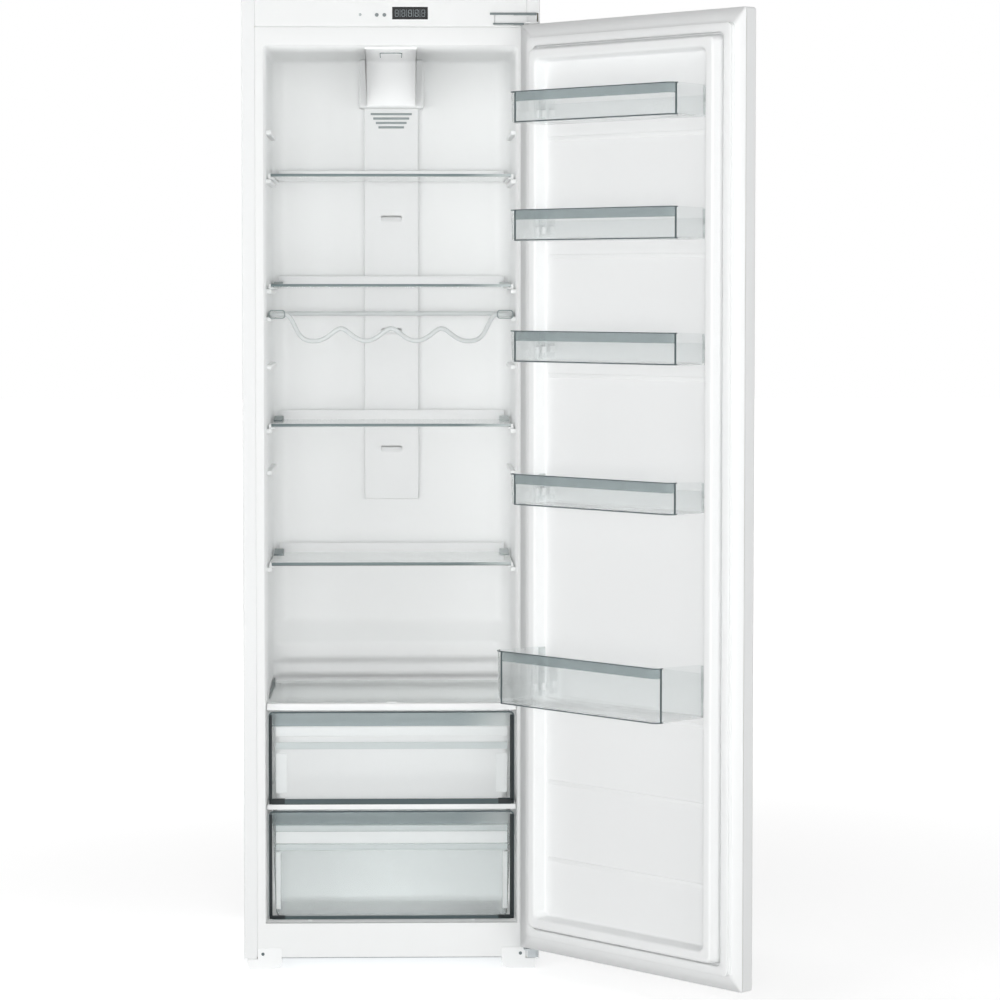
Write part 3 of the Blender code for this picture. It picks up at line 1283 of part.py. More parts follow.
def build_crisper_cover():
    """The glass lid over the drawers, its moulded front and side rails, and the humidity slider."""
    bar_back = COVER_FRONT + COVER_BAR_DEPTH
    glass_corners = [
        (-COVER_HALF, bar_back + SEAT_GAP, FOLD_RADIUS),
        (COVER_HALF, bar_back + SEAT_GAP, FOLD_RADIUS),
        (COVER_HALF, COVER_BACK, BACK_CORNER_RADIUS),
        (-COVER_HALF, COVER_BACK, BACK_CORNER_RADIUS),
    ]
    place = (0, FRONT, COVER_TOP - SHELF_GLASS / 2)
    prism("crisper_cover_glass", [rounded(glass_corners)], SHELF_GLASS, place, UNTURNED, CLEAR_GLASS, PARTS)

    inner = COVER_HALF - COVER_RAIL_WIDTH
    rail_back = COVER_RAIL_BACK
    plan = [
        (-COVER_HALF, COVER_FRONT, FOLD_RADIUS),
        (COVER_HALF, COVER_FRONT, FOLD_RADIUS),
        (COVER_HALF, rail_back, 0),
        (inner, rail_back, 0),
        (inner, bar_back, COVER_RAIL_WIDTH / 2),
        (-inner, bar_back, COVER_RAIL_WIDTH / 2),
        (-inner, rail_back, 0),
        (-COVER_HALF, rail_back, 0),
    ]
    rail_low = COVER_SEAT - COVER_RAIL_HEIGHT
    rail_middle = (0, FRONT, (rail_low + COVER_SEAT) / 2)
    name = "crisper_cover_trim"
    trim = prism(name, [rounded(plan)], COVER_RAIL_HEIGHT, rail_middle, UNTURNED, WHITE_PLASTIC, PARTS)
    bar_top = COVER_TOP + SEAT_GAP
    join(trim, box(
        "cover_bar",
        (-COVER_HALF, deep(COVER_FRONT), bar_top - COVER_BAR_HEIGHT),
        (COVER_HALF, deep(bar_back), bar_top),
        radius=FOLD_RADIUS,
    ))
    slot_front = COVER_FRONT + (COVER_BAR_DEPTH - SLIDER_SLOT_SPAN) / 2
    slot_floor = bar_top - SLIDER_SLOT_DEPTH
    cut(trim, box(
        "slider_slot",
        (-SLIDER_SLOT_WIDTH / 2, deep(slot_front), slot_floor),
        (SLIDER_SLOT_WIDTH / 2, deep(slot_front + SLIDER_SLOT_SPAN), bar_top + CUT_OVERRUN),
    ))
    slider = box(
        "humidity_slider",
        (-SLIDER_WIDTH / 2, deep(slot_front + SEAT_GAP), slot_floor + SEAT_GAP),
        (SLIDER_WIDTH / 2, deep(slot_front + SLIDER_SLOT_SPAN - SEAT_GAP), slot_floor + SLIDER_HEIGHT),
        WHITE_PLASTIC,
        PARTS,
        FOLD_RADIUS / 2,
    )
    carry(pivot("slider_travel", (0, deep(slot_front), slot_floor)), slider)


def build_drawer(name, floor, top, back):
    """A clear bin with drafted walls, behind a dark frame with a smoked grip band on top."""
    bin_front = DRAWER_FRONT + DRAWER_FRAME_DEPTH + SEAT_GAP
    levels = ((floor, DRAWER_DRAFT), ((floor + top) / 2, DRAWER_DRAFT / 4), (top, 0))
    rings = []
    for height, draft in levels:
        plan = rectangle(
            -DRAWER_HALF + draft,
            DRAWER_HALF - draft,
            deep(bin_front),
            deep(back - draft),
            DRAWER_RADIUS,
        )
        rings.append(facing_up(rounded(plan), height))
    bin_body = thicken(loft(name, rings, CLEAR_PLASTIC, PARTS, cap_last=False), PLASTIC_WALL)

    outer = rounded(rectangle(-DRAWER_FRAME_HALF, DRAWER_FRAME_HALF, floor, top, DRAWER_EDGE))
    hole = rounded(rectangle(
        -DRAWER_FRAME_HALF + DRAWER_EDGE,
        DRAWER_FRAME_HALF - DRAWER_EDGE,
        floor + DRAWER_EDGE,
        top - DRAWER_BAND,
        DRAWER_EDGE / 2,
    ))
    place = (0, deep(DRAWER_FRONT + DRAWER_FRAME_DEPTH / 2), 0)
    frame = prism(f"{name}_frame", [outer, hole], DRAWER_FRAME_DEPTH, place, ALONG_Y, SMOKED_PLASTIC, PARTS)
    carry(pivot(f"{name}_travel", (0, deep(DRAWER_FRONT), floor)), bin_body, frame)


def build_drawers():
    """The divider between the drawers, and the two drawers."""
    divider_low = DIVIDER_TOP - DIVIDER_HEIGHT
    plan = rounded([
        (-COVER_HALF, DIVIDER_FRONT, FOLD_RADIUS),
        (COVER_HALF, DIVIDER_FRONT, FOLD_RADIUS),
        (COVER_HALF, DIVIDER_BACK, BACK_CORNER_RADIUS),
        (-COVER_HALF, DIVIDER_BACK, BACK_CORNER_RADIUS),
    ])
    place = (0, FRONT, (divider_low + DIVIDER_TOP) / 2)
    divider = prism("drawer_divider", [plan], DIVIDER_HEIGHT, place, UNTURNED, WHITE_PLASTIC, PARTS)
    cut(divider, box(
        "divider_hollow",
        (-COVER_HALF + DIVIDER_RIM, deep(DIVIDER_FRONT + DIVIDER_RIM), divider_low - CUT_OVERRUN),
        (COVER_HALF - DIVIDER_RIM, deep(DIVIDER_BACK - DIVIDER_RIM * 2), DIVIDER_TOP - DIVIDER_PLATE),
    ))
    upper_top = COVER_SEAT - COVER_RAIL_HEIGHT - DRAWER_TOP_GAP
    build_drawer("upper_drawer", DIVIDER_TOP + SEAT_GAP, upper_top, UPPER_DRAWER_BACK)
    lower_top = divider_low - DRAWER_TOP_GAP
    lower_floor = CAVITY_FLOOR + LIP_HEIGHT + SEAT_GAP
    build_drawer("lower_drawer", lower_floor, lower_top, STEP_FACE_DEPTH - LOWER_DRAWER_BACK_GAP)


def door_profile():
    """The door liner's section as (inset from the door's edge, level above its flange, radius)."""
    ridge_out = RIDGE_INSET + RIDGE_DRAFT
    ridge_in = ridge_out + RIDGE_WIDTH
    return [
        (SEAT_GAP, 0, 0),
        (RIDGE_INSET, 0, 0),
        (ridge_out, RIDGE_HEIGHT, 0),
        (ridge_in, RIDGE_HEIGHT, 0),
        (ridge_in + RIDGE_DRAFT, PANEL_LEVEL, 0),
    ]


def door_ring(inset, level, radius):
    """A rounded rectangle parallel to the door's outline, facing into the cabinet."""
    outline = rectangle(
        DOOR_BOTTOM + inset,
        DOOR_TOP - inset,
        -HALF_WIDTH + inset,
        HALF_WIDTH - inset,
        radius,
    )
    return facing_back(rounded(outline), deep(DOOR_INNER + level))


def build_door():
    """The door, built closed, then swung open on its hinge axis with all that it carries."""
    axis = pivot("door_hinge_axis", (HINGE_X, deep(HINGE_DEPTH), 0))
    edge = DOOR_EDGE_RADIUS
    skin_top = LINER_WALL + SEAT_GAP
    outer_level = -DOOR_THICKNESS
    skin_rings = [
        door_ring(edge, outer_level, edge),
        door_ring(edge / 4, outer_level + edge / 3, edge),
        door_ring(0, outer_level + edge, edge),
        door_ring(0, -skin_top, edge),
    ]
    skin = loft("door_skin", skin_rings, WHITE_STEEL, PARTS, cap_last=False)
    thicken(skin, SHEET)

    profile = door_profile()
    rings = [door_ring(inset, level, max(edge, min(inset, RIDGE_RADIUS))) for inset, level, _ in profile]
    liner = loft("door_liner", rings, WHITE_PLASTIC, PARTS, cap_first=False)
    soften(liner, FOLD_RADIUS)
    thicken(liner, LINER_WALL)
    studs = [stud for share in BALCONY_SHARES for stud in balcony_studs(share)]
    join(liner, gather("balcony_studs", studs))

    foam_edge = SHEET + SEAT_GAP + edge / 2
    foam_rings = [
        door_ring(foam_edge, outer_level + SHEET + SEAT_GAP + edge / 4, edge),
        door_ring(foam_edge, -skin_top, edge),
    ]
    beneath = grown([*profile, (HALF_WIDTH, PANEL_LEVEL, 0)], skin_top, closed=False)
    for inset, level, _ in beneath[1:-1]:
        foam_rings.append(door_ring(inset, level, max(edge, min(inset, RIDGE_RADIUS))))
    foam = loft("door_insulation", foam_rings, FOAM, PARTS)

    bore = PIN_RADIUS + SEAT_GAP
    bore_depth = PIN_LENGTH + RUN_GAP
    for name, height in (("low_bush", DOOR_BOTTOM), ("top_bush", DOOR_TOP)):
        hole = rod(name, bore, 2 * bore_depth, place=(HINGE_X, deep(HINGE_DEPTH), height))
        cut(skin, hole)
        cut(foam, hole)
    seal = build_gasket()
    carry(axis, skin, foam, liner, seal)
    sizes = zip(BALCONY_SHARES, BALCONY_HEIGHTS, BALCONY_DEPTHS)
    for number, (share, height, depth) in enumerate(sizes, start=1):
        carry(axis, build_balcony(number, share, height, depth))
    axis.rotation_euler.z = DOOR_OPEN_ANGLE


def build_gasket():
    """The magnetic seal: a bellows section carried round the door."""
    height = DOOR_SEAL_GAP - 2 * SEAT_GAP
    outer, inner = [], []
    for level, fold in zip(SEAL_LEVEL_SHARES, SEAL_FOLD_SHARES):
        up = SEAT_GAP + level * height
        outer.append(door_ring(SEAL_INSET + fold * SEAL_FOLD, up, SEAL_RADIUS))
        inner.append(door_ring(SEAL_INSET + SEAL_WIDTH - fold * SEAL_FOLD, up, SEAL_RADIUS))
    return loft("door_gasket", outer + list(reversed(inner)), SEAL_RUBBER, PARTS, ring=True)


def balcony_half():
    """Half the width of a balcony, between the door liner's ridges."""
    ridge_in = RIDGE_INSET + RIDGE_DRAFT + RIDGE_WIDTH + RIDGE_DRAFT
    return HALF_WIDTH - ridge_in - BALCONY_SIDE_GAP


def balcony_floor(share):
    return DOOR_BOTTOM + share * DOOR_HEIGHT


def balcony_studs(share):
    """The two moulded studs that a balcony's end walls hook over."""
    low = balcony_floor(share) + STUD_RISE
    near = DOOR_INNER + STUD_LEVEL
    foot = balcony_half() + BALCONY_SIDE_GAP
    rise = STUD_LEVEL + STUD_WIDTH / 2 - PANEL_LEVEL
    root = foot + RIDGE_DRAFT * rise / (RIDGE_HEIGHT - PANEL_LEVEL) + LINER_WALL / 2
    studs = []
    for side in (-1, 1):
        ends = sorted((side * root, side * (foot - STUD_REACH)))
        studs.append(box(
            "stud",
            (ends[0], deep(near), low),
            (ends[1], deep(near + STUD_WIDTH), low + STUD_HEIGHT),
        ))
    return studs


def build_balcony(number, share, height, depth):
    """A clear door balcony hooked over two studs, with a smoked band round its front edge."""
    low = balcony_floor(share)
    half = balcony_half()
    back = deep(DOOR_INNER + BALCONY_BACK)
    front = deep(DOOR_INNER + depth) - BAND_THICKNESS - SEAT_GAP
    straight = low + height - BAND_HEIGHT - 2 * SEAT_GAP
    rings = []
    for level, draft in ((low, BALCONY_DRAFT), (straight, 0), (low + height, 0)):
        plan = [
            (-half, back, BALCONY_BACK_RADIUS),
            (half, back, BALCONY_BACK_RADIUS),
            (half, front - draft, BALCONY_RADIUS),
            (-half, front - draft, BALCONY_RADIUS),
        ]
        rings.append(facing_up(rounded(plan), level))
    tray = thicken(loft(f"balcony_{number}", rings, CLEAR_PLASTIC, PARTS, cap_last=False), PLASTIC_WALL)
    slot_top = low + STUD_RISE + STUD_HEIGHT + SEAT_GAP
    slot_back = DOOR_INNER + STUD_LEVEL - SLOT_SIDE_GAP
    slot_front = slot_back + STUD_WIDTH + 2 * SLOT_SIDE_GAP
    tips = half + BALCONY_SIDE_GAP - STUD_REACH - SLOT_SIDE_GAP
    for side in (-1, 1):
        ends = sorted((side * tips, side * (half + BALCONY_SIDE_GAP)))
        cut(tray, box(
            "hook_slot",
            (ends[0], deep(slot_back), low - CUT_OVERRUN),
            (ends[1], deep(slot_front), slot_top),
        ))
    back_half = half - BALCONY_BACK_RADIUS - PLASTIC_WALL
    cut(tray, box(
        "low_back",
        (-back_half, back - CUT_OVERRUN / 2, low + height - BALCONY_BACK_DROP),
        (back_half, back + BALCONY_BACK_RADIUS, low + height + CUT_OVERRUN),
    ))

    path = [
        (-half - SEAT_GAP, front - BAND_RETURN, 0),
        (-half - SEAT_GAP, front + SEAT_GAP, BALCONY_RADIUS + SEAT_GAP),
        (half + SEAT_GAP, front + SEAT_GAP, BALCONY_RADIUS + SEAT_GAP),
        (half + SEAT_GAP, front - BAND_RETURN, 0),
    ]
    middle = (0, 0, low + height - BAND_HEIGHT / 2)
    name = f"balcony_trim_{number}"
    band = folded_sheet(name, path, BAND_HEIGHT, BAND_THICKNESS, middle, UNTURNED, SMOKED_PLASTIC, PARTS)
    lift = pivot(f"balcony_{number}_lift", (0, back, low))
    carry(lift, tray, band)
    return lift


def build_cooling():
    """The evaporator behind the liner, and the condenser, compressor, rail, tray and terminal box."""
    low_z = CAVITY_FLOOR + EVAPORATOR_SHARE * CAVITY_HEIGHT
    coil_depth = LINER_BACK + EVAPORATOR_TUBE
    coil = serpentine(EVAPORATOR_RUNS, EVAPORATOR_PITCH, EVAPORATOR_HALF, low_z, coil_depth)
    tube("evaporator_coil", coil, EVAPORATOR_TUBE, COPPER, PARTS)

    plate_depth = REAR_SKIN_DEPTH + CONDENSER_STANDOFF
    half = CONDENSER_WIDTH / 2
    seat = REAR_SKIN_DEPTH + SEAT_GAP
    path = [
        (half, seat, 0),
        (half, plate_depth, FOLD_RADIUS),
        (-half, plate_depth, FOLD_RADIUS),
        (-half, seat, 0),
    ]
    middle = (0, FRONT, CONDENSER_FOOT + CONDENSER_HEIGHT / 2)
    name = "condenser_plate"
    plate = folded_sheet(name, path, CONDENSER_HEIGHT, SHEET, middle, UNTURNED, BLACK_STEEL, PARTS)
    pitch = (CONDENSER_HEIGHT - 2 * CONDENSER_MARGIN) / (CONDENSER_RUNS - 1)
    slots = []
    for index in range(CONDENSER_RUNS - 1):
        height = CONDENSER_FOOT + CONDENSER_MARGIN + (index + 0.5) * pitch
        outline = rounded(rectangle(
            -CONDENSER_SLOT_WIDTH / 2,
            CONDENSER_SLOT_WIDTH / 2,
            -CONDENSER_SLOT_HEIGHT / 2,
            CONDENSER_SLOT_HEIGHT / 2,
            CONDENSER_SLOT_HEIGHT / 3,
        ))
        slots.append(prism("slot", [outline], CONDENSER_STANDOFF, (0, deep(plate_depth), height), ALONG_Y))
    cut(plate, gather("condenser_slots", slots))

    tube_depth = plate_depth + SEAT_GAP + CONDENSER_TUBE
    points = serpentine(CONDENSER_RUNS, pitch, CONDENSER_HALF, CONDENSER_FOOT + CONDENSER_MARGIN, tube_depth)
    tail_height = COMPRESSOR_FOOT + COMPRESSOR_HEIGHT / 2
    pot_back = COMPRESSOR_MIDDLE + COMPRESSOR_RADIUS + COMPRESSOR_SEAM + SEAT_GAP
    radius = CONDENSER_STANDOFF / 2
    tail = [
        (pot_back, tail_height, 0),
        (tube_depth, tail_height, radius),
        (tube_depth, CONDENSER_FOOT + CONDENSER_MARGIN - radius * 2, 0),
    ]
    lead = [Vector((COMPRESSOR_X, deep(point.x), point.y)) for point in rounded(tail, closed=False)]
    corner = Vector((COMPRESSOR_X + radius * 2, deep(tube_depth), CONDENSER_FOOT + CONDENSER_MARGIN))
    tube("condenser_coil", lead + [corner] + points[1:], CONDENSER_TUBE, BLACK_STEEL, PARTS)
    build_compressor()


def build_compressor():
    """The compressor pot with its seam, on its rail, with its terminal box and the drip tray."""
    seam = COMPRESSOR_HEIGHT * COMPRESSOR_DOME_SHARES[-1][1]
    profile = [(wide * COMPRESSOR_RADIUS, up * COMPRESSOR_HEIGHT) for wide, up in COMPRESSOR_DOME_SHARES]
    profile += [
        (COMPRESSOR_RADIUS, seam - COMPRESSOR_SEAM),
        (COMPRESSOR_RADIUS + COMPRESSOR_SEAM, seam - COMPRESSOR_SEAM * 2),
        (COMPRESSOR_RADIUS + COMPRESSOR_SEAM, COMPRESSOR_HEIGHT / 2 - COMPRESSOR_SEAM * 2),
        (COMPRESSOR_RADIUS, COMPRESSOR_HEIGHT / 2 - COMPRESSOR_SEAM * 3),
    ]
    profile += [(wide * COMPRESSOR_RADIUS, up * COMPRESSOR_HEIGHT) for wide, up in COMPRESSOR_BASE_SHARES]
    axis = (COMPRESSOR_X, deep(COMPRESSOR_MIDDLE), COMPRESSOR_FOOT)
    turned("compressor", profile, BLACK_STEEL, PARTS, axis)

    half = RAIL_WIDTH / 2
    low = BASE_PLATE + SEAT_GAP
    high = BASE_PLATE + RAIL_RISE + SEAT_GAP
    path = [
        (-half, low, 0),
        (-half + RAIL_FOOT, low, FOLD_RADIUS * 2),
        (-half + RAIL_FOOT * 2, high - RAIL_SHEET, FOLD_RADIUS * 2),
        (half - RAIL_FOOT * 2, high - RAIL_SHEET, FOLD_RADIUS * 2),
        (half - RAIL_FOOT, low, FOLD_RADIUS * 2),
        (half, low, 0),
    ]
    place = (COMPRESSOR_X, deep(COMPRESSOR_MIDDLE), 0)
    folded_sheet("compressor_rail", path, RAIL_DEPTH, RAIL_SHEET, place, ALONG_Y, ZINC_STEEL, PARTS)

    side = COMPRESSOR_X - COMPRESSOR_RADIUS - COMPRESSOR_SEAM - SEAT_GAP
    box_low = COMPRESSOR_FOOT + COMPRESSOR_HEIGHT / 2 - TERMINAL_HEIGHT / 2
    box_front = COMPRESSOR_MIDDLE - TERMINAL_DEPTH / 2
    terminal = box(
        "terminal_box",
        (side - TERMINAL_WIDTH, deep(box_front), box_low),
        (side, deep(box_front + TERMINAL_DEPTH), box_low + TERMINAL_HEIGHT),
        DARK_TRIM,
        PARTS,
        TERMINAL_RADIUS,
    )
    gland_x = side - TERMINAL_WIDTH - GLAND_LENGTH / 2 + TERMINAL_RADIUS
    gland_turn = Euler((0, math.pi / 2, 0))
    gland_place = (gland_x, deep(COMPRESSOR_MIDDLE), box_low + TERMINAL_HEIGHT / 2)
    gland_reach = GLAND_LENGTH + TERMINAL_RADIUS
    join(terminal, rod("gland", GLAND_RADIUS, gland_reach, place=gland_place, turn=gland_turn))

    tray_low = COMPRESSOR_TOP + SEAT_GAP
    rings = []
    for level, draft in ((tray_low, TRAY_DRAFT), (tray_low + TRAY_HEIGHT, 0)):
        plan = rectangle(
            COMPRESSOR_X - TRAY_WIDTH / 2 + draft,
            COMPRESSOR_X + TRAY_WIDTH / 2 - draft,
            deep(COMPRESSOR_MIDDLE - TRAY_DEPTH / 2 + draft),
            deep(COMPRESSOR_MIDDLE + TRAY_DEPTH / 2 - draft),
            TRAY_RADIUS,
        )
        rings.append(facing_up(rounded(plan), level))
    thicken(loft("drip_tray", rings, WHITE_PLASTIC, PARTS, cap_last=False), PLASTIC_WALL)


def build_refrigerator():
    build_cabinet_shell()
    build_insulation()
    build_liner()
    build_feet()
    build_hinges()
    build_fascia()
    build_duct()
    build_fan()
    for number, share in enumerate(SHELF_SHARES, start=1):
        build_shelf(number, share)
    build_rack()
    build_crisper_cover()
    build_drawers()
    build_cooling()
    build_door()


build_refrigerator()
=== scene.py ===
"""A built-in column refrigerator with its door open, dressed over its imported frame.

Lengths are metres in the frame's axes: +X to the right, +Y into the cabinet and +Z up. Depths are
measured back from the cabinet's front plane. Pieces of the door are worked out for the closed door
and then swung about the hinge axis to where the frame holds them at rest.
"""

from __future__ import annotations

import json
import logging
import math
from dataclasses import dataclass, replace
from enum import Enum
from typing import Iterable, Sequence

import bmesh
import bpy
import numpy as np
from mathutils import Matrix, Vector

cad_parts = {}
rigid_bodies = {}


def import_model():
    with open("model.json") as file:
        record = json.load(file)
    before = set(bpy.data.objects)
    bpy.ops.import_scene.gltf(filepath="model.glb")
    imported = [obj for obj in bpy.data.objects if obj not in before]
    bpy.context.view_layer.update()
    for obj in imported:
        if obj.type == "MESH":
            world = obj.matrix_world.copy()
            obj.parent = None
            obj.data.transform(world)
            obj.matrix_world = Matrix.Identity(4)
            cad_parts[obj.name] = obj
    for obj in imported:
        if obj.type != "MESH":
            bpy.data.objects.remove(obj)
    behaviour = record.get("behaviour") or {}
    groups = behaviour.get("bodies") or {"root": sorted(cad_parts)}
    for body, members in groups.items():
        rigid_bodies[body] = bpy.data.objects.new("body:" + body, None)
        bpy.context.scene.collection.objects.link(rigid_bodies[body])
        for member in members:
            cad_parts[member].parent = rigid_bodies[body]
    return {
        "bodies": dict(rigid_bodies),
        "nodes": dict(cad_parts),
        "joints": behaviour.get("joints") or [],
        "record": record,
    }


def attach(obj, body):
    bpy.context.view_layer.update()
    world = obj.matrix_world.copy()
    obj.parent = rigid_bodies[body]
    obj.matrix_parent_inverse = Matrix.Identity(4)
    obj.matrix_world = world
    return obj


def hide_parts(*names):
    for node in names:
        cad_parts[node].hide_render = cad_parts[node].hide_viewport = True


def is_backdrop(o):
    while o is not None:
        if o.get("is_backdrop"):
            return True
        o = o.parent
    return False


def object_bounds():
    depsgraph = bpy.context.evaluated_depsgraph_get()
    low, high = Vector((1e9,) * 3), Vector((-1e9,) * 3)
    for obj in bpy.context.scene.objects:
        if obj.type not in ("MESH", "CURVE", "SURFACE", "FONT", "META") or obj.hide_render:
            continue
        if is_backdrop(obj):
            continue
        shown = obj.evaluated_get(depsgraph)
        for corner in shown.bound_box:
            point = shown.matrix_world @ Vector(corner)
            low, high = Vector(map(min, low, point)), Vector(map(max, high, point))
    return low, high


LOG = logging.getLogger("refrigerator")
Array = np.ndarray
Span = tuple[float, float]
Triple = tuple[float, float, float]
Tree = bpy.types.NodeTree
Socket = bpy.types.NodeSocket
Outputs = bpy.types.bpy_prop_collection

FRONT = -0.2375
HINGE_X = 0.256
HINGE_Y = FRONT - 0.028
DOOR_ANGLE = math.radians(132.3)
DOOR_LOW, DOOR_HIGH, DOOR_HALF, DOOR_PLANE = 0.0258, 1.7014, 0.270, -0.012
BALCONY_SHARES = (0.8911, 0.7670, 0.6396, 0.4883, 0.2785)
SEAT = 0.0003
SIDES = (-1, 1)
FIRM, SOFT, ROUND = 35.0, 40.0, 50.0
REAL, VECTOR, COLOUR = "NodeSocketFloat", "NodeSocketVector", "NodeSocketColor"


class Body(Enum):
    """The frame's bodies that new pieces ride on, apart from the numbered ones."""

    CABINET = "cabinet"
    RACK = "bottle_rack"
    UPPER_DRAWER = "upper_drawer_unit"
    LOWER_DRAWER = "lower_drawer_unit"
    DOOR = "door"


class Slot(Enum):
    """The record's material slots."""

    WHITE_STEEL = "white_steel"
    ZINC_STEEL = "zinc_steel"
    BLACK_STEEL = "black_steel"
    WHITE_PLASTIC = "white_plastic"
    LAMP_PLASTIC = "lamp_plastic"
    CLEAR_PLASTIC = "clear_plastic"
    SMOKED_PLASTIC = "smoked_plastic"
    DARK_TRIM = "dark_trim"
    CLEAR_GLASS = "clear_glass"
    DISPLAY_GLASS = "display_glass"
    SEAL_RUBBER = "seal_rubber"
    FOAM = "foam"
    COPPER = "copper"
    BOARD_GREEN = "board_green"
    WHITE_WIRE = "white_wire"


# ---------------------------------------------------------------- places and outlines


def deep(depth: float | Array) -> float | Array:
    """The Y of a depth measured back from the cabinet's front plane."""
    return FRONT + depth


def swing(points: Array) -> Array:
    """Points of the closed door turned about the hinge axis to the open stop.

    Each point's offset from the axis is multiplied by the plane rotation matrix.

    Args:
        points: An array whose last axis holds X, Y and Z.

    Returns:
        The turned points, in the same shape.
    """
    cosine, sine = math.cos(DOOR_ANGLE), math.sin(DOOR_ANGLE)
    across, back = points[..., 0] - HINGE_X, points[..., 1] - HINGE_Y
    x, y = HINGE_X + across * cosine - back * sine, HINGE_Y + across * sine + back * cosine
    return np.stack([x, y, points[..., 2]], axis=-1)


def standing(rings: Array, depths: Array) -> Array:
    """Outlines of (X, height) points stood upright, each at its own depth."""
    back = np.broadcast_to(deep(depths)[:, None, None], (*rings.shape[:2], 1))
    return np.concatenate([rings[..., :1], back, rings[..., 1:]], -1)


def lying(rings: Array, heights: Array) -> Array:
    """Outlines of (X, depth) points laid level, at heights for each outline or each point."""
    level = np.broadcast_to(heights, (*rings.shape[:2], 1))
    return np.concatenate([rings[..., :1], deep(rings[..., 1:]), level], -1)


def mirrored(across: Span) -> list[list[float]]:
    """The X limits on the left and on the right of a part between two distances from the middle."""
    return [sorted((side * across[0], side * across[1])) for side in SIDES]


def quarter(radius: float, steps: int = 3) -> tuple[Array, Array]:
    """How far a rounded edge is drawn in, radius * (1 - sine), and its rise, radius * (1 - cosine)."""
    angle = np.linspace(0, np.pi / 2, steps + 1)
    return radius * (1 - np.sin(angle)), radius * (1 - np.cos(angle))


def circle(radius: float, sides: int = 16) -> Array:
    """Points of a circle about zero: radius times the cosine and sine of even angles."""
    angle = np.linspace(0, math.tau, sides, endpoint=False)
    return radius * np.stack([np.cos(angle), np.sin(angle)], -1)


def rounded_rings(low: Sequence, high: Sequence, radii: float | Array, steps: int = 8) -> Array:
    """Outlines of rectangles with rounded corners, one outline for each row of sizes.

    A corner's points are the middle of its arc plus the radius times the cosine and sine of
    angles that sweep a quarter turn, anticlockwise from the lowest corner.

    Args:
        low: The rectangles' lowest first and second coordinates, as numbers or arrays.
        high: Their highest ones.
        radii: One radius, or an array of (rows, 1) or (rows, 4) radii.
        steps: How many parts each arc has.

    Returns:
        Points of shape (rows, 4 * (steps + 1), 2).
    """
    sides = [np.atleast_1d(np.asarray(side, float)) for side in (*low, *high)]
    left, near, right, far = np.broadcast_arrays(*sides)
    radius = np.broadcast_to(np.atleast_2d(np.asarray(radii, float)), (len(left), 4))
    middle_x = np.stack([left, right, right, left], 1) + radius * np.array([1, -1, -1, 1])
    middle_y = np.stack([near, near, far, far], 1) + radius * np.array([1, 1, -1, -1])
    angle = (np.pi + np.arange(4) * np.pi / 2)[:, None] + np.linspace(0, np.pi / 2, steps + 1)
    x = middle_x[..., None] + radius[..., None] * np.cos(angle)
    y = middle_y[..., None] + radius[..., None] * np.sin(angle)
    return np.stack([x, y], -1).reshape(len(left), -1, 2)


def rounded_path(corners: Sequence[Sequence[float]], steps: int = 6) -> Array:
    """An open path through (x, y, radius) corners, with each inner corner as an arc.

    An arc starts radius / tan(half the corner's angle) before the corner and turns about a middle
    that lies on the corner's bisector.

    Args:
        corners: The path's corners, the first and last of them its ends.
        steps: How many parts each arc has.

    Returns:
        Points of shape (count, 2).
    """
    table = np.asarray(corners, float)
    here, radius = table[1:-1, :2], np.maximum(table[1:-1, 2], 1e-5)
    before, after = table[:-2, :2] - here, table[2:, :2] - here
    before = before / np.linalg.norm(before, axis=1, keepdims=True)
    after = after / np.linalg.norm(after, axis=1, keepdims=True)
    half = np.arccos(np.clip((before * after).sum(1), -1, 1)) / 2
    bisector = before + after
    bisector = bisector / np.linalg.norm(bisector, axis=1, keepdims=True)
    middle = here + bisector * (radius / np.sin(half))[:, None]
    start = here + before * (radius / np.tan(half))[:, None] - middle
    end = here + after * (radius / np.tan(half))[:, None] - middle
    sweep = np.arctan2(start[:, 0] * end[:, 1] - start[:, 1] * end[:, 0], (start * end).sum(1))
    angle = sweep[:, None] * np.linspace(0, 1, steps + 1)
    cosine, sine = np.cos(angle), np.sin(angle)
    x = start[:, :1] * cosine - start[:, 1:] * sine
    y = start[:, :1] * sine + start[:, 1:] * cosine
    arcs = middle[:, None, :] + np.stack([x, y], -1)
    return np.concatenate([table[:1, :2], arcs.reshape(-1, 2), table[-1:, :2]])


def drawn_in(outline: Array, amounts: Array) -> Array:
    """Copies of a closed outline moved inward along its points' normals.

    A normal is the difference of a point's two neighbours turned a quarter, away from the middle,
    and each copy is the outline less its amount times the normal.

    Args:
        outline: Points of shape (n, 2).
        amounts: How far each copy moves.

    Returns:
        Points of shape (copies, n, 2).
    """
    after, before = np.roll(outline, -1, axis=0), np.roll(outline, 1, axis=0)
    ahead = after - before
    turn = np.sign((outline[:, 0] * after[:, 1] - outline[:, 1] * after[:, 0]).sum())
    normal = turn * np.stack([ahead[:, 1], -ahead[:, 0]], -1)
    normal = normal / np.maximum(np.linalg.norm(normal, axis=1, keepdims=True), 1e-9)
    return outline[None] - amounts[:, None, None] * normal[None]


# ---------------------------------------------------------------- surfaces and pieces


